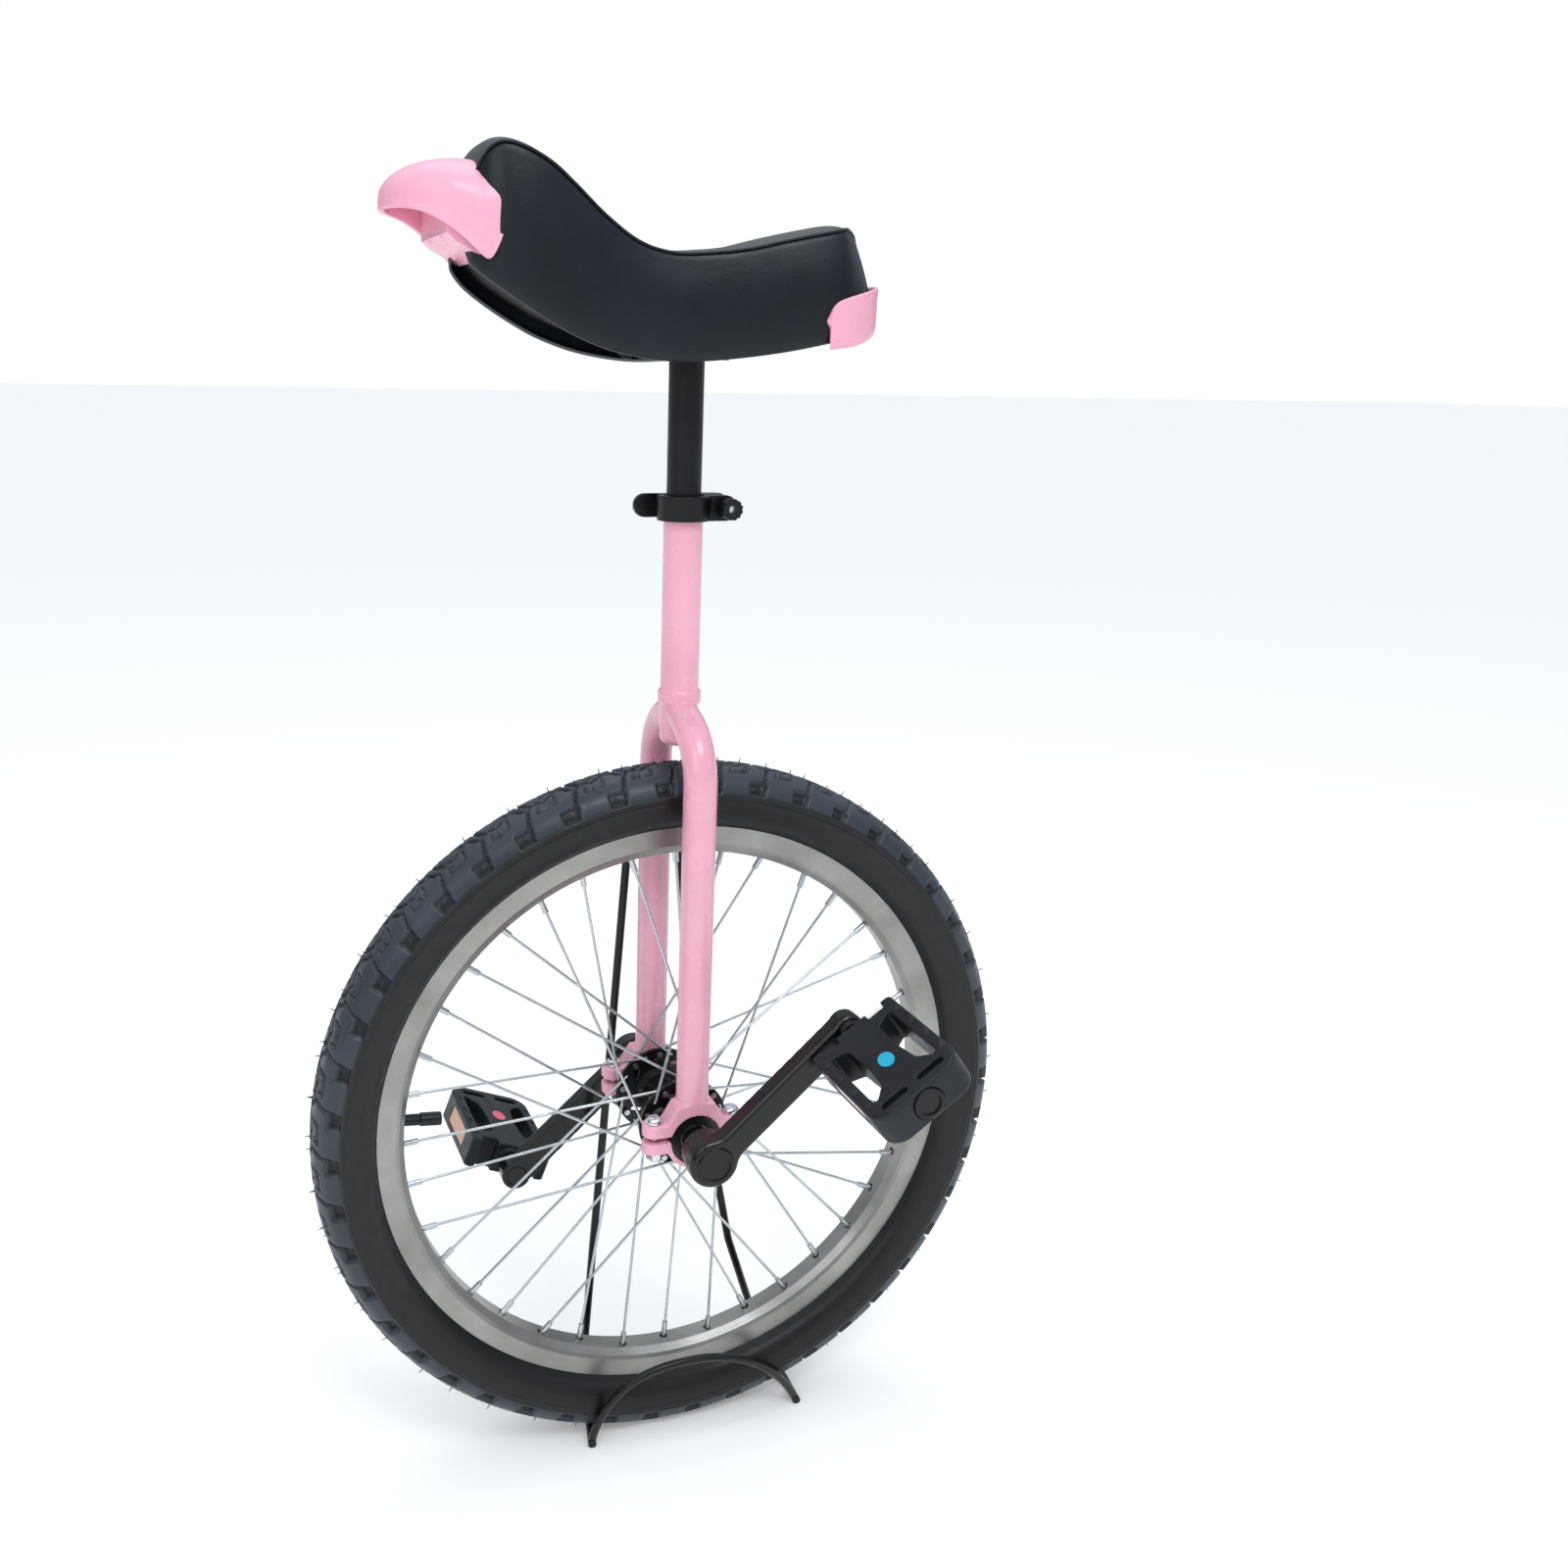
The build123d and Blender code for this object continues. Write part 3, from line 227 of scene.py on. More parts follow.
def rim_material():
    """Satin rim, brushed around the axle, with faint smudges."""
    made = Surface("rim_alloy", Metallic=1.0)
    radius, sideways = made.from_axle()
    turned = made.node("CombineXYZ", {"X": radius, "Y": sideways, "Z": 0.0}).outputs["Vector"]
    lines = made.noise(2400, 3, turned)
    made.tint(made.noise(26, 5), [(0.3, srgb("8C8A87")), (0.7, srgb("A8A6A2"))])
    made.gloss(lines, 0.3, 0.7, 0.28, 0.44)
    made.bump(lines, 0.15, 0.00012)
    return made.material


def reflector_material():
    """Amber reflector with a honeycomb of prisms under a clear face."""
    made = Surface("reflector_amber", Coat_Weight=0.8, Coat_Roughness=0.04)
    prisms = made.cells(620)
    made.tint(prisms, [(0.05, srgb("F0A23A")), (0.6, srgb("B85A12"))])
    made.gloss(prisms, 0.0, 0.8, 0.15, 0.35)
    made.bump(prisms, 0.5, 0.0006)
    return made.material


MATERIALS = {
    "frame_paint": painted("frame_paint", "E9A0B6", "EFA9BD", "F2B0C2"),
    "saddle_plastic": moulded_plastic("saddle_plastic", "F0A6BD", "F4B1C6", 0.26, 0.1, 0.4),
    "vinyl": vinyl_material(),
    "foam": rubber_material("foam", "8A8270", "9A917C", 0.8),
    "base_plastic": moulded_plastic("base_plastic", "07080A", "0C0E11", 0.45, 0.2, 0.1),
    "tyre_rubber": tread_material(),
    "tube_rubber": rubber_material("tube_rubber", "1C1C1C", "2A2A2A", 0.6),
    "rim_alloy": rim_material(),
    "spoke_steel": metal("spoke_steel", "B4B8BA", "D2D6D8", 0.26, (1, 1, 1), 1400),
    "hub_black": painted("hub_black", "06070A", "0A0B0E", "101216", 0.26, 0.15, 0.35),
    "crank_black": painted("crank_black", "050608", "08090C", "0D0F13", 0.2, 0.15, 0.35),
    "bearing_steel": metal("bearing_steel", "A5A7A9", "C0C2C4", 0.25, (1, 12, 1)),
    "seal_rubber": rubber_material("seal_rubber", "0C0C0D", "151516", 0.5),
    "bolt_zinc": metal("bolt_zinc", "BFC4C8", "E0E4E6", 0.2, (1, 1, 6), 1200),
    "cap_plastic": moulded_plastic("cap_plastic", "08090B", "0F1114", 0.32, 0.25),
    "pedal_plastic": moulded_plastic("pedal_plastic", "121519", "1C2126", 0.42, 0.4),
    "reflector_amber": reflector_material(),
    "badge_blue": moulded_plastic("badge_blue", "1E9FC8", "38B9DC", 0.3, 0.1),
    "badge_red": moulded_plastic("badge_red", "E0566F", "F0788C", 0.3, 0.1),
    "clamp_black": painted("clamp_black", "06080B", "090B0F", "0F1216", 0.32, 0.0, 0.35),
    "post_black": painted("post_black", "06080C", "090C11", "0E1218", 0.3, 0.0, 0.3),
    "wire_black": painted("wire_black", "06070A", "0A0B0E", "101216", 0.3, 0.1, 0.35),
}

for part in frame["record"]["subparts"]:
    cad_mesh = frame["nodes"][part["node"]].data
    cad_mesh.materials.clear()
    cad_mesh.materials.append(MATERIALS[part["material_slot"]])
# Small parts that are coated like what is round them.
COATED = {
    "handle_screws": "saddle_plastic", "saddle_studs": "hub_black", "saddle_nuts": "hub_black",
    "pedal_spindle_left": "hub_black", "pedal_spindle_right": "hub_black", "bearing_outer_races": "hub_black",
}
for node, finish in COATED.items():
    frame["nodes"][node].data.materials[0] = MATERIALS[finish]


# ================= mesh helpers =================


def piece_from(name, mesh, body, slot, *replaced):
    """Link a finished mesh as a piece that rides on a body and stands for CAD nodes."""
    mesh.name = name
    made = bpy.data.objects.new(name, mesh)
    bpy.context.scene.collection.objects.link(made)
    mesh.materials.clear()
    mesh.materials.append(MATERIALS[slot])
    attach(made, body)
    if replaced:
        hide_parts(*replaced)
    return made


def smooth_mesh(mesh, sharp_degrees=None):
    """Shade smooth, keeping edges sharper than an angle crisp."""
    mesh.polygons.foreach_set("use_smooth", [True] * len(mesh.polygons))
    if sharp_degrees is not None:
        mesh.set_sharp_from_angle(angle=radians(sharp_degrees))


def grid_faces(rows, columns, wrap_rows, wrap_columns):
    """Quads over a grid of rows x columns points, closed round either way."""
    faces = []
    for i in range(rows if wrap_rows else rows - 1):
        for j in range(columns if wrap_columns else columns - 1):
            ni, nj = (i + 1) % rows, (j + 1) % columns
            faces.append((i * columns + j, ni * columns + j, ni * columns + nj, i * columns + nj))
    return faces


def mesh_from(points, faces, sharp_degrees=None):
    """Smooth mesh from an array of points and faces, with its normals facing outwards."""
    mesh = bpy.data.meshes.new("made")
    mesh.from_pydata([tuple(p) for p in np.asarray(points).reshape(-1, 3)], [], faces)
    work = bmesh.new()
    work.from_mesh(mesh)
    bmesh.ops.recalc_face_normals(work, faces=work.faces)
    work.to_mesh(mesh)
    work.free()
    smooth_mesh(mesh, sharp_degrees)
    return mesh


def evaluated(source, *modifiers):
    """Final mesh of a mesh with (type, settings) modifiers applied."""
    holder = bpy.data.objects.new("holder", source)
    bpy.context.scene.collection.objects.link(holder)
    for kind, settings in modifiers:
        modifier = holder.modifiers.new(kind, kind)
        for key, value in settings.items():
            setattr(modifier, key, value)
    depsgraph = bpy.context.evaluated_depsgraph_get()
    mesh = bpy.data.meshes.new_from_object(holder.evaluated_get(depsgraph))
    bpy.data.objects.remove(holder)
    return mesh


def soft_edged(nodes, voxel, steps):
    """Closed CAD solids fused into one skin with softened edges, as in a casting or a moulding."""
    work = bmesh.new()
    for node in nodes:
        work.from_mesh(frame["nodes"][node].data)
    bmesh.ops.remove_doubles(work, verts=work.verts, dist=1e-6)
    mesh = bpy.data.meshes.new("fused")
    work.to_mesh(mesh)
    work.free()
    fused = evaluated(mesh, ("REMESH", {"mode": "VOXEL", "voxel_size": voxel}),
                      ("SMOOTH", {"factor": 0.5, "iterations": steps}))
    smooth_mesh(fused)
    return fused


def smooth_step(value):
    """A value from 0 to 1 given a soft start and end, and held at 0 or 1 outside that range."""
    clipped = np.clip(value, 0, 1)
    return clipped * clipped * (3 - 2 * clipped)


def catmull(points, steps):
    """Smooth curve through points, as an array with that many steps between each pair."""
    pts = np.array(points, float)
    ends = np.vstack([2 * pts[0] - pts[1], pts, 2 * pts[-1] - pts[-2]])
    rows = []
    for i in range(len(pts) - 1):
        a, b, c, d = ends[i:i + 4]
        for t in np.arange(steps) / steps:
            rows.append(0.5 * (2 * b + (c - a) * t + (2 * a - 5 * b + 4 * c - d) * t**2
                               + (3 * b - a - 3 * c + d) * t**3))
    rows.append(pts[-1])
    return np.array(rows)


def tube(path, radius, corners=10):
    """Round tube along a path of points in metres, as (points, faces)."""
    path = np.asarray(path, float)
    ahead = np.vstack([path[1:], path[-1:]])
    behind = np.vstack([path[:1], path[:-1]])
    along = ahead - behind
    along /= np.linalg.norm(along, axis=1, keepdims=True)
    helper = np.where(np.abs(along[:, 2:]) > 0.9, (1.0, 0.0, 0.0), (0.0, 0.0, 1.0))
    first = np.cross(along, helper)
    first /= np.linalg.norm(first, axis=1, keepdims=True)
    second = np.cross(along, first)
    turn = 2 * pi * np.arange(corners) / corners
    rings = (path[:, None] + radius * (np.cos(turn)[None, :, None] * first[:, None]
                                       + np.sin(turn)[None, :, None] * second[:, None]))
    faces = grid_faces(len(path), corners, False, True)
    last = (len(path) - 1) * corners
    faces += [tuple(range(corners)), tuple(last + c for c in range(corners))]
    return rings.reshape(-1, 3), faces


def shell(points, faces, thickness):
    """Skin given a thickness inwards, with rounded edges."""
    made = evaluated(mesh_from(points, faces),
                     ("SOLIDIFY", {"thickness": thickness, "offset": -1.0, "use_even_offset": False}),
                     ("SUBSURF", {"levels": 2, "render_levels": 2}))
    smooth_mesh(made)
    return made


def without_cavities(mesh):
    """Drop closed inner skins, so that only the skin with the most points is left."""
    work = bmesh.new()
    work.from_mesh(mesh)
    work.verts.ensure_lookup_table()
    seen = np.zeros(len(work.verts), bool)
    groups = []
    for start in work.verts:
        if seen[start.index]:
            continue
        stack, group = [start], []
        seen[start.index] = True
        while stack:
            vert = stack.pop()
            group.append(vert)
            for edge in vert.link_edges:
                other = edge.other_vert(vert)
                if not seen[other.index]:
                    seen[other.index] = True
                    stack.append(other)
        groups.append(group)
    groups.sort(key=len)
    for group in groups[:-1]:
        bmesh.ops.delete(work, geom=group, context="VERTS")
    work.to_mesh(mesh)
    work.free()
    smooth_mesh(mesh)
    return mesh


# ================= tyre =================

PITCHES = 46
TYRE_R = AXLE_Z / MM
TYRE_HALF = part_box("tyre")[1].y / MM
PITCH = 2 * pi * TYRE_R / PITCHES
COLUMNS_PER_PITCH = 28

# Tread strokes on the left half, repeated at each pitch: points as (along in pitches, across in mm), then
# width and depth in mm. The right half is the same, turned round and half a pitch on.
STROKES = [
    ([(-0.17, -6.0), (0.13, -0.7), (0.23, 5.6), (0.33, 6.0), (0.45, 4.0), (0.83, -6.0)], 2.0, 3.2),
    ([(0.17, 30.0), (0.20, 20.0), (0.28, 12.0), (0.33, 6.0)], 1.9, 3.2),
    ([(0.90, 4.5), (0.85, 13.5), (0.48, 15.0), (0.50, 10.0)], 1.5, 2.2),
]
# The pocket between shoulder blocks: its span along in pitches, its span across and its depth.
POCKET = ((-0.17, 0.16), (21.5, 31.5), 3.8)
DOT_R = 1.6           # the raised dot in the pocket
DOT_HEIGHT = 1.2
# Rings round the sidewall: place across, height and half-width.
RIBS = [(33.5, 0.45, 0.9), (36.6, 0.35, 0.9), (47.0, 0.25, 1.2)]
OVERLAP_TO = 8.0      # the strokes of both halves reach this far across the crown


def stroke_distance(along, across, points):
    """Distance in mm of each place in a pitch from a polyline, trying the pitch before and after too."""
    best = np.full(along.shape, 1e9)
    for shift in (-1, 0, 1):
        for (a0, c0), (a1, c1) in zip(points, points[1:]):
            start = np.array([(a0 + shift) * PITCH, c0])
            step = np.array([(a1 - a0) * PITCH, c1 - c0])
            along_off, across_off = along - start[0], across - start[1]
            t = np.clip((along_off * step[0] + across_off * step[1]) / (step @ step), 0, 1)
            best = np.minimum(best, np.hypot(along_off - t * step[0], across_off - t * step[1]))
    return best


def tread_relief(along, across):
    """Height in mm over the tyre's envelope, for a place in one pitch of the left half."""
    relief = np.zeros(along.shape)
    for points, width, depth in STROKES:
        distance = stroke_distance(along, across, points)
        relief = np.minimum(relief, -depth * smooth_step((width / 2 + 0.5 - distance) / 0.9))
    (low, high), (inner, outer), depth = POCKET
    wrapped = (along / PITCH - low) % 1.0 + low
    inside = np.minimum.reduce([(wrapped - low) * PITCH, (high - wrapped) * PITCH,
                                across - inner, outer - across])
    dot = np.hypot((wrapped - (low + high) / 2) * PITCH, across - (inner + outer) / 2)
    pocket = -depth * smooth_step(inside + 0.5) + DOT_HEIGHT * smooth_step((DOT_R - dot) / (DOT_R / 2))
    relief = np.where(inside > -0.5, np.minimum(relief, pocket), relief)
    for place, height, width in RIBS:
        relief = relief + height * smooth_step((width - np.abs(across - place)) / width)
    return relief


def tyre_profile():
    """Left half of the tyre's envelope from crown to bead, in mm: distance over the surface, y, radius."""
    outline = [(0, 0), (10, 1.0), (19, 6.0), (23.8, 13), (TYRE_HALF, 22), (20.5, 35), (13.4, 40.6),
               (10.8, 42.6), (10.6, 47)]
    dense = catmull([(y, TYRE_R - drop) for y, drop in outline], 24)
    lengths = np.concatenate([[0], np.cumsum(np.hypot(*np.diff(dense, axis=0).T))])
    places = np.concatenate([np.arange(0, 33, 1.0), np.arange(33, 38, 0.55),
                             np.arange(38, lengths[-1], 1.7), [lengths[-1]]])
    return places, np.interp(places, lengths, dense[:, 0]), np.interp(places, lengths, dense[:, 1])


def make_tyre():
    """Tyre with a moulded tread: zigzag centre groove, hooked sipes, shoulder blocks and pockets."""
    across, side_y, radius = tyre_profile()
    columns = PITCHES * COLUMNS_PER_PITCH
    turn = 2 * pi * np.arange(columns) / columns
    along = (np.arange(columns) % COLUMNS_PER_PITCH) * PITCH / COLUMNS_PER_PITCH
    normal_y = np.gradient(side_y, across)
    normal_r = np.gradient(radius, across)
    length = np.hypot(normal_y, normal_r)
    out_y, out_r = -normal_r / length, normal_y / length
    rows = []
    for side in (1, -1):
        order = range(len(across) - 1, 0, -1) if side == 1 else range(len(across))
        for k in order:
            place = along if side == 1 else (0.5 * PITCH - along) % PITCH
            relief = tread_relief(place, np.full(columns, across[k]))
            if across[k] < OVERLAP_TO:
                other = (0.5 * PITCH - along) % PITCH if side == 1 else along
                relief = np.minimum(relief, tread_relief(other, np.full(columns, -across[k])))
            y = side * (side_y[k] + relief * out_y[k])
            r = radius[k] + relief * out_r[k]
            rows.append(np.stack([r * np.cos(turn), y, AXLE_Z / MM + r * np.sin(turn)], -1))
    points = np.array(rows) * MM
    mesh = mesh_from(points, grid_faces(len(rows), columns, True, True))
    piece_from("tyre_tread", mesh, "wheel", "tyre_rubber", "tyre")


def make_hairs():
    """Short rubber vent spews left standing on the tread."""
    length, radius, corners = 3.6, 0.45, 5
    lines = (-10.0, -2.0, 13.0)           # places across the tread, taken in turn
    crown_fall = 0.011                    # the crown falls by this times the square of the place across
    bare = 0.2                            # half angle of the stretch without hairs that stands on the rails
    count = len(lines) * PITCHES
    points, faces = [], []
    for index in range(count):
        turn = 2 * pi * (index + 0.3 * sin(9.0 * index)) / count
        if abs((turn + pi / 2 + pi) % (2 * pi) - pi) < bare:
            continue
        y = lines[index % len(lines)] + 1.5 * sin(5.0 * index)
        base_r = TYRE_R - crown_fall * y * y - 0.3
        lean = 0.5 * sin(7.0 * index)
        for level, size in ((0, radius), (length, 0.5 * radius)):
            for corner in range(corners):
                spin = 2 * pi * corner / corners
                r = base_r + level
                sideways = size * cos(spin) + lean * level / length
                points.append((r * cos(turn) - sideways * sin(turn), y + size * sin(spin),
                               TYRE_R + r * sin(turn) + sideways * cos(turn)))
        first = len(points) - 2 * corners
        root = [first + c for c in range(corners)]
        tip = [first + corners + c for c in range(corners)]
        faces += [(root[c], root[(c + 1) % corners], tip[(c + 1) % corners], tip[c]) for c in range(corners)]
        faces += [tuple(root), tuple(tip)]
    mesh = mesh_from(np.array(points) * MM, faces)
    piece_from("tyre_hairs", mesh, "wheel", "tyre_rubber")


make_tyre()
make_hairs()


# ================= saddle =================

# Stations of the saddle's vinyl from tail to nose, in mm: x, lower edge, top edge, half-width and the crown
# of the top.
SADDLE = [
    (-113, 785, 822, 16, 1), (-110.5, 782, 830, 27, 2), (-105, 779, 835, 39, 2),
    (-97, 776, 838, 48.5, 2), (-84, 772, 838.5, 56, 2), (-68, 769, 836, 58.5, 2),
    (-46, 764.5, 831.5, 56, 1.5), (-20, 760.5, 825.5, 51, 1), (5, 758, 822.5, 47, 1),
    (25, 757.5, 822, 45, 1), (45, 759.5, 827, 44.5, 2), (65, 763.5, 839.5, 45.5, 3.5),
    (85, 770.5, 856, 47.5, 4.5), (98, 777, 866, 48.5, 5), (112, 785, 873, 48.5, 4.5),
    (124, 792.5, 876, 46.5, 3), (132, 798, 873, 43, 2), (138, 803, 864, 38, 1), (143, 808, 849, 31, 1),
]
SADDLE_ROWS = 96      # rows of the vinyl's grid from tail to nose
HEM_ROWS = 3
SIDE_ROWS = 14
TOP_ROWS = 10
SEAM_ROW = HEM_ROWS + SIDE_ROWS - 1
HEM = 7.0             # how far the vinyl turns in under the edge
SEAM_DROP = 2.6       # the seam runs this far under the top edge
SEAM_IN = 4.0         # and this far inside the widest line
TAIL_LEAN = 13.0      # how far forward the top of the tail leans
TAIL_START = -72.0    # where the lean begins
TAIL_SPAN = 30.0      # and the length over which it grows
PUFF_REACH = 3.0      # how far the puffed vinyl may move
WELT_R = 0.8
TAIL_TOP_ROW = 3      # row of the welt across the tail's top
TAIL_SIDE_ROW = 8     # row of the upright welts at the tail's sides


def saddle_section(low, high, half, crown):
    """Half section from the hem round the side to the middle of the top, as (y, z)."""
    rows = [(half - HEM, low + 2.5), (half - 3.0, low + 0.3), (half - 0.8, low + 1.6)]
    height = high - low
    for k in range(SIDE_ROWS):
        t = (k + 0.6) / (SIDE_ROWS - 0.4)
        inset = SEAM_IN * t**3.2
        bulge = 1.6 * sin(pi * min(1.0, t * 1.08)) if t < 0.93 else 0
        rows.append((half + bulge - inset * (half / 50), low + 3.5 + t * (height - SEAM_DROP - 3.5)))
    seam_y, seam_z = rows[-1]
    for k in range(1, TOP_ROWS + 1):
        t = k / TOP_ROWS
        lift = (SEAM_DROP + crown) * (1 - (1 - t)**2.6)
        rows.append((seam_y * (1 - t), seam_z + lift))
    return np.array(rows)


def saddle_surface():
    """Grid of points from tail to nose, each row from the left hem over the top to the right hem."""
    places = catmull(SADDLE, 12)
    picked = places[np.linspace(0, len(places) - 1, SADDLE_ROWS).round().astype(int)]
    grid = []
    for x, low, high, half, crown in picked:
        near = saddle_section(low, high, half, crown)
        far = near[-2::-1] * (-1, 1)
        section = np.vstack([near, far])
        up = np.clip((section[:, 1] - low - 8) / (high - low - 8), 0, 1)
        lean = TAIL_LEAN * smooth_step((TAIL_START - x) / TAIL_SPAN) * up
        grid.append(np.column_stack([x + lean, section]))
    return np.array(grid)


def puffed(mesh, pinned, pressure, reach):
    """The mesh after a short inflation of its unpinned cloth, with each point's move capped in metres."""
    rest = np.array([v.co[:] for v in mesh.vertices])
    holder = bpy.data.objects.new("cloth", mesh)
    bpy.context.scene.collection.objects.link(holder)
    group = holder.vertex_groups.new(name="pinned")
    for index, weight in enumerate(pinned):
        group.add([index], float(weight), "REPLACE")
    cloth = holder.modifiers.new("cloth", "CLOTH")
    cloth.settings.quality = 6
    cloth.settings.mass = 0.3
    cloth.settings.tension_stiffness = 40
    cloth.settings.compression_stiffness = 30
    cloth.settings.shear_stiffness = 15
    cloth.settings.bending_stiffness = 1.5
    cloth.settings.air_damping = 6
    cloth.settings.use_pressure = True
    cloth.settings.uniform_pressure_force = pressure
    cloth.settings.vertex_group_mass = "pinned"
    cloth.settings.effector_weights.gravity = 0
    cloth.collision_settings.use_collision = False
    cloth.collision_settings.use_self_collision = False
    cloth.point_cache.frame_start = 1
    cloth.point_cache.frame_end = 20
    scene = bpy.context.scene
    for number in range(1, 21):
        scene.frame_set(number)
    depsgraph = bpy.context.evaluated_depsgraph_get()
    found = holder.evaluated_get(depsgraph).to_mesh()
    moved = np.array([v.co[:] for v in found.vertices])
    holder.modifiers.clear()
    scene.frame_set(1)
    bpy.data.objects.remove(holder)
    step = moved - rest
    length = np.linalg.norm(step, axis=1, keepdims=True)
    step *= np.minimum(1.0, reach / np.maximum(length, 1e-9))
    mesh.vertices.foreach_set("co", (rest + step).ravel())
    mesh.update()
    return mesh


def make_saddle_cover():
    """Vinyl cover, puffed over its foam between pinned seams, with a welt along each seam."""
    grid = saddle_surface() * MM
    rows, columns = grid.shape[:2]
    faces = grid_faces(rows, columns, False, False)
    points = [*grid.reshape(-1, 3)]
    for row, bulge in ((0, -1.5), (rows - 1, 1.0)):
        centre = len(points)
        points.append(grid[row].mean(0) + np.array([bulge * MM, 0, 0]))
        faces += [(row * columns + c, row * columns + c + 1, centre) for c in range(columns - 1)]
    mesh = mesh_from(points, faces)
    right_seam = columns - 1 - SEAM_ROW
    pinned = np.zeros(len(points))
    for index in range(rows * columns):
        row, column = divmod(index, columns)
        edge = min(column, columns - 1 - column)
        if column in (SEAM_ROW, right_seam) or edge < HEM_ROWS or row in (0, rows - 1):
            pinned[index] = 1.0
    pinned[-2:] = 1.0
    mesh = puffed(mesh, pinned, 4.0, PUFF_REACH * MM)
    settled = np.array([v.co[:] for v in mesh.vertices])[:rows * columns].reshape(rows, columns, 3)
    cover = evaluated(mesh, ("SUBSURF", {"levels": 1, "render_levels": 1}))
    smooth_mesh(cover)
    made = piece_from("saddle_vinyl", cover, "seat", "vinyl", "saddle_cover", "saddle_foam")
    welt_points, welt_faces = [], []
    for path in (settled[:, SEAM_ROW], settled[::-1, right_seam],
                 settled[TAIL_TOP_ROW, SEAM_ROW:right_seam + 1],
                 settled[TAIL_SIDE_ROW, HEM_ROWS:SEAM_ROW + 1],
                 settled[TAIL_SIDE_ROW, right_seam:columns - HEM_ROWS]):
        ring_points, ring_faces = tube(path, WELT_R * MM)
        first = len(welt_points)
        welt_points += [*ring_points]
        welt_faces += [tuple(first + c for c in face) for face in ring_faces]
    piece_from("saddle_welt", mesh_from(welt_points, welt_faces), "seat", "vinyl")


# ================= castings and mouldings with soft edges =================

# Nodes that get a softened skin: node, body, slot, voxel in mm and smoothing steps.
SOFT_PIECES = [
    ("bearing_cap_left", "frame", "frame_paint", 0.7, 8),
    ("bearing_cap_right", "frame", "frame_paint", 0.7, 8),
    ("crank_left", "wheel", "crank_black", 0.7, 8),
    ("crank_right", "wheel", "crank_black", 0.7, 8),
    ("pedal_body_left", "pedal_left", "pedal_plastic", 0.6, 3),
    ("pedal_body_right", "pedal_right", "pedal_plastic", 0.6, 3),
    ("seat_clamp", "frame", "clamp_black", 0.5, 5),
    ("quick_release_lever", "lever", "clamp_black", 0.5, 6),
    ("bearing_cap_bolts", "frame", "bolt_zinc", 0.35, 3),
]


def make_soft_pieces():
    """Softened skins for the painted frame and the castings and mouldings on it."""
    frame_nodes = ["seat_tube", "fork_leg_left", "fork_leg_right",
                   "bearing_holder_left", "bearing_holder_right"]
    skin = without_cavities(soft_edged(frame_nodes, 0.75 * MM, 10))
    piece_from("frame_skin", skin, "frame", "frame_paint", *frame_nodes)
    for node, body, slot, voxel, steps in SOFT_PIECES:
        piece_from(f"{node}_skin", soft_edged([node], voxel * MM, steps), body, slot, node)


# ================= handle and bumper =================

# Stations of the handle from its back edge to its tip, in mm: x, lower rim, top of the section, half-width,
# and how far up the section goes before it meets the saddle.
HANDLE = [
    (125.4, 830, 862, 45.2, 841), (127.2, 824, 864, 45.8, 846), (129.6, 818.5, 865, 46, 849.5),
    (132, 814, 866, 46, 853), (134.2, 811.6, 866.5, 45.8, 856.5), (135.4, 811.5, 866.7, 45.7, 860.5),
    (136.4, 811.6, 866.8, 45.6, 864.5), (137.2, 811.9, 866.9, 45.5, 866.9),
    (141, 815, 867.2, 45, 867.2), (147, 820.5, 867.2, 43.8, 867.2), (154, 826, 866.6, 41.8, 866.6),
    (160.5, 830.5, 865.6, 39.2, 865.6), (167, 834, 864, 36, 864), (172.5, 836, 862, 32.5, 862),
    (177.8, 837.2, 859.4, 28.4, 859.4), (182, 837.8, 856.4, 23.6, 856.4), (185, 838, 853, 18.2, 853),
    (187, 838.2, 850, 12.4, 850), (187.7, 838.4, 848.5, 7, 848.5), (187.9, 838.6, 848, 2.5, 848),
]
HANDLE_WALL = 3.6
EAVES = 0.42          # the roof's curve starts this far up each section
HANDLE_COLUMNS = 15   # points in half a section
LIP = 1.6             # height of the rolled lip round the rim

# Lower edge of the web's section from back to front as (x, z), the x of its upper edge's two corners, and the
# upper edge's height at each place across the handle as (y, z).
WEB_FOOT = [(134.8, 812), (152, 820.5), (157.5, 825)]
WEB_HEAD = (157.5, 138)
WEB_TOPS = [(-38, 848), (-32, 853), (-18, 859), (0, 861), (18, 859), (32, 853), (38, 848)]


def handle_section(low, high, half, reach, count):
    """Half section of the handle from its lower rim to the middle, as evenly spaced (y, z)."""
    eaves = low + EAVES * (high - low)
    turn = np.linspace(0, pi / 2, 40)
    roof_y = half * np.cos(turn)**0.8
    roof_z = eaves + (high - eaves) * np.sin(turn)**0.9
    flare = 0.9 * min(1.0, half / 15)
    wall = [(half + flare, low), (half + 0.9 * flare, low + 2.0), (half, low + 4.5)]
    line = np.vstack([wall, np.column_stack([roof_y, roof_z])])
    line = line[line[:, 1] <= reach + 1e-6]
    lengths = np.concatenate([[0], np.cumsum(np.hypot(*np.diff(line, axis=0).T))])
    even = np.concatenate([[0, LIP], np.linspace(4.0, lengths[-1], count - 2)])
    return np.column_stack([np.interp(even, lengths, line[:, 0]), np.interp(even, lengths, line[:, 1])])


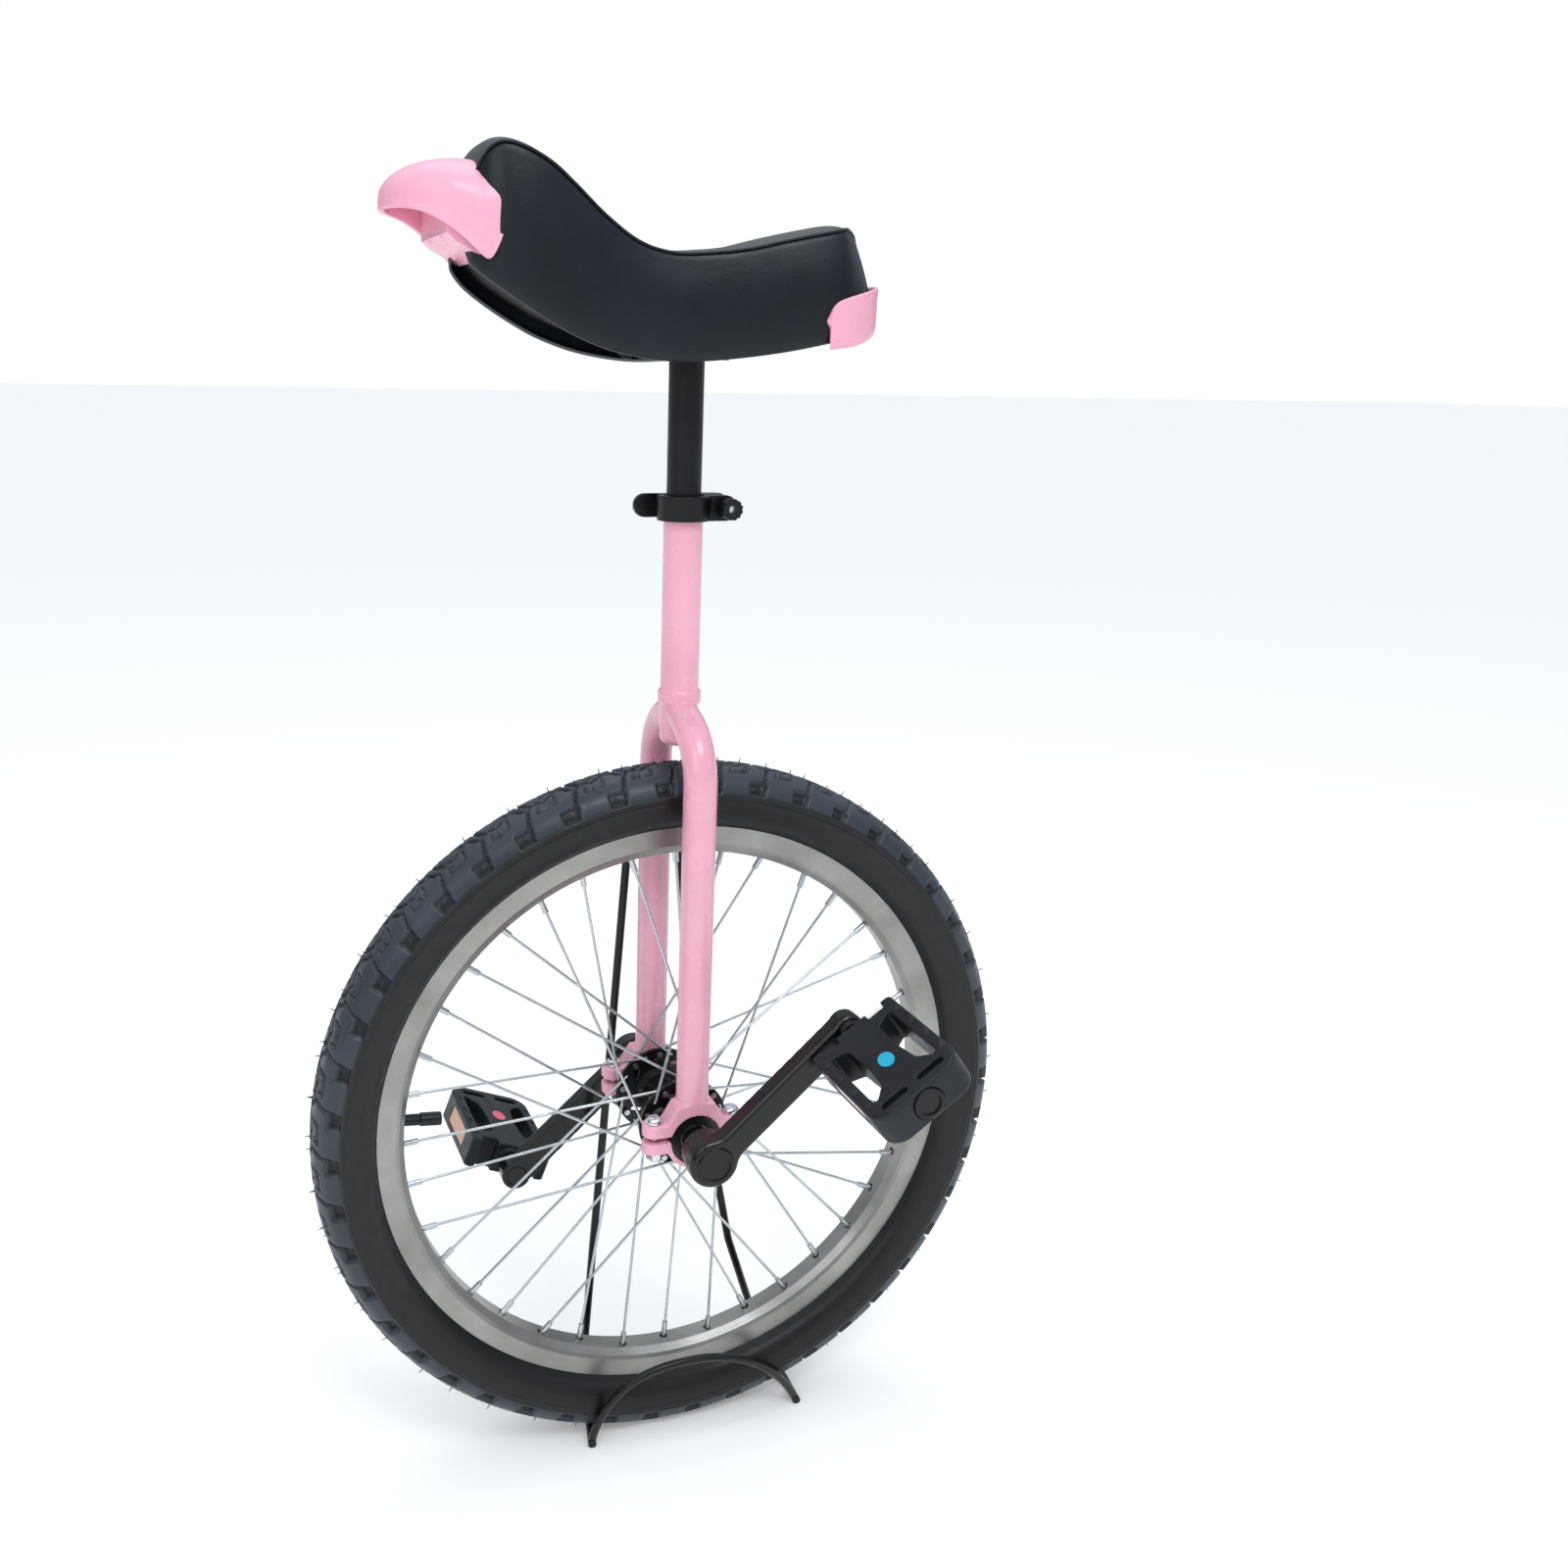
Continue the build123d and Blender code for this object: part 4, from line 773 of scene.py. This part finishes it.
def make_visor():
    """Front handle's crowned visor, open at the back where the saddle's nose goes in."""
    rows, open_topped = [], []
    for x, low, high, half, reach in catmull(HANDLE, 2):
        cut = reach < high - 0.5
        near = handle_section(low, high, half, min(reach, high), HANDLE_COLUMNS + (0 if cut else 1))
        side = near[:HANDLE_COLUMNS]
        section = np.vstack([side, [(0.0, near[-1][1])], side[::-1] * (-1, 1)])
        rows.append(np.column_stack([np.full(len(section), x), section]))
        open_topped.append(cut)
    columns = 2 * HANDLE_COLUMNS + 1
    ridge = (HANDLE_COLUMNS - 1, HANDLE_COLUMNS)
    faces = [face for face in grid_faces(len(rows), columns, False, False)
             if not (open_topped[face[0] // columns] and face[0] % columns in ridge)]
    used = sorted({corner for face in faces for corner in face})
    renumbered = {corner: index for index, corner in enumerate(used)}
    faces = [tuple(renumbered[corner] for corner in face) for face in faces]
    points = np.array(rows).reshape(-1, 3)[used]
    visor = shell(points * MM, faces, HANDLE_WALL * MM)
    piece_from("handle_visor", visor, "seat", "saddle_plastic", "front_handle")


def make_handle_web():
    """Web inside the handle, by which it is screwed to the saddle's base."""
    points = []
    for y, top in WEB_TOPS:
        points += [(x, y, z) for x, z in WEB_FOOT]
        points += [(x, y, top) for x in WEB_HEAD]
    count = len(WEB_FOOT) + len(WEB_HEAD)
    last = (len(WEB_TOPS) - 1) * count
    faces = grid_faces(len(WEB_TOPS), count, False, True)
    faces += [tuple(range(count)), tuple(last + c for c in range(count))]
    piece_from("handle_web", mesh_from(np.array(points) * MM, faces, 35), "seat", "saddle_plastic")


# Stations of the rear bumper round the saddle's tail, in mm: x, y, lower edge, upper edge.
BUMPER = [
    (-68.5, 60.4, 768.4, 784), (-69, 60.5, 768, 789), (-71, 60.7, 768, 792.5), (-74.5, 60.6, 768.4, 795),
    (-80, 59.8, 769, 797), (-88, 57.2, 770.4, 799.2), (-97, 51.6, 772.8, 801.4), (-105, 43, 775.4, 803.4),
    (-111.5, 32, 777.8, 805), (-116, 19, 779.4, 806), (-118, 6, 780, 806.4),
]
BUMPER_WALL = 3.2


def make_bumper():
    """Rear bumper: a band round the tail with a raised lip."""
    half = catmull(BUMPER, 3)
    path = np.vstack([half, half[::-1] * (1, -1, 1, 1)])
    along = np.gradient(path[:, :2], axis=0)
    along /= np.linalg.norm(along, axis=1, keepdims=True)
    outward = np.column_stack([along[:, 1], -along[:, 0]])
    grid = []
    for (x, y, low, high), out in zip(path, outward):
        column = [(-3.0, low - 1.2), (-0.8, low - 1.0), (0.6, low + 1.2)]
        column += [(0.9, low + t * (high - low)) for t in (0.25, 0.5, 0.75)]
        column += [(1.3, high - 2.6), (1.5, high)]
        grid.append([(x + out[0] * o, y + out[1] * o, z) for o, z in column])
    faces = grid_faces(len(grid), len(grid[0]), False, False)
    band = shell(np.array(grid).reshape(-1, 3) * MM, faces, BUMPER_WALL * MM)
    piece_from("bumper_band", band, "seat", "saddle_plastic", "rear_bumper")


make_saddle_cover()
make_visor()
make_handle_web()
make_bumper()
make_soft_pieces()


# ================= camera, light and floor =================


def make_camera():
    """Camera at the viewing angle of a product shot, from the rider's front left."""
    azimuth, elevation, roll = radians(160.955), radians(15.4), radians(1.019)
    target = Vector((0.0214, 0, AXLE_Z + 0.2355))
    distance = 0.9979
    level = cos(elevation)
    back = Vector((sin(azimuth) * level, -cos(azimuth) * level, sin(elevation)))
    camera_data = bpy.data.cameras.new("camera")
    camera_data.sensor_width = 36
    camera_data.lens = 34.472
    camera_data.shift_x = 0.0875
    camera_data.shift_y = 0.0019
    camera_data.clip_start = 0.01
    camera = bpy.data.objects.new("camera", camera_data)
    bpy.context.scene.collection.objects.link(camera)
    right = Vector((0, 0, 1)).cross(back).normalized()
    place = Matrix.Translation(target + back * distance)
    turned = Matrix((right, back.cross(right), back)).transposed().to_4x4()
    camera.matrix_world = place @ turned @ Matrix.Rotation(roll, 4, "Z")
    bpy.context.scene.camera = camera


def make_light(name, place, aim, size, power, colour=(1, 1, 1)):
    """Soft rectangular light pointed at a place."""
    data = bpy.data.lights.new(name, "AREA")
    data.shape = "RECTANGLE"
    data.size, data.size_y = size
    data.energy = power
    data.color = colour
    lamp = bpy.data.objects.new(name, data)
    bpy.context.scene.collection.objects.link(lamp)
    lamp.location = place
    lamp.rotation_euler = (Vector(aim) - Vector(place)).to_track_quat("-Z", "Y").to_euler()


def make_floor():
    """Plain pale floor."""
    reach = 60
    mesh = mesh_from([(x, y, 0) for x in (-reach, reach) for y in (-reach, reach)], [(0, 2, 3, 1)])
    floor = bpy.data.objects.new("floor", mesh)
    bpy.context.scene.collection.objects.link(floor)
    made = Surface("floor", Roughness=0.9, Specular_IOR_Level=0.05, Base_Color=srgb("F6F4F2"),
                   Emission_Color=(1, 1, 1, 1), Emission_Strength=0.18)
    mesh.materials.append(made.material)


def make_world():
    """White backdrop for the camera, and a dimmer sky that is brighter overhead for the light."""
    world = bpy.data.worlds.new("world")
    world.use_nodes = True
    nodes, links = world.node_tree.nodes, world.node_tree.links
    sky = nodes["Background"]
    place = nodes.new("ShaderNodeTexCoord")
    parts = nodes.new("ShaderNodeSeparateXYZ")
    ramp = nodes.new("ShaderNodeMapRange")
    links.new(place.outputs["Generated"], parts.inputs["Vector"])
    links.new(parts.outputs["Z"], ramp.inputs["Value"])
    for key, value in {"From Min": 0.0, "From Max": 0.9, "To Min": 0.22, "To Max": 1.15}.items():
        ramp.inputs[key].default_value = value
    links.new(ramp.outputs["Result"], sky.inputs["Strength"])
    sky.inputs["Color"].default_value = (0.86, 0.93, 1.0, 1)
    backdrop = nodes.new("ShaderNodeBackground")
    backdrop.inputs["Strength"].default_value = 1.0
    backdrop.inputs["Color"].default_value = (1, 1, 1, 1)
    seen = nodes.new("ShaderNodeLightPath")
    blend = nodes.new("ShaderNodeMixShader")
    links.new(seen.outputs["Is Camera Ray"], blend.inputs["Fac"])
    links.new(sky.outputs["Background"], blend.inputs[1])
    links.new(backdrop.outputs["Background"], blend.inputs[2])
    links.new(blend.outputs["Shader"], nodes["World Output"].inputs["Surface"])
    bpy.context.scene.world = world


make_camera()
make_world()
make_floor()
make_light("key", (-0.1, 1.7, 2.6), (0, 0, 0.5), (1.4, 0.8), 22, (0.92, 0.97, 1.0))
make_light("front", (1.5, 1.4, 1.6), (0, 0, 0.5), (1.2, 1.2), 7)
make_light("top", (-0.2, -0.6, 2.6), (0, 0, 0.4), (1.6, 1.6), 8)
bpy.context.scene.view_settings.view_transform = "Standard"
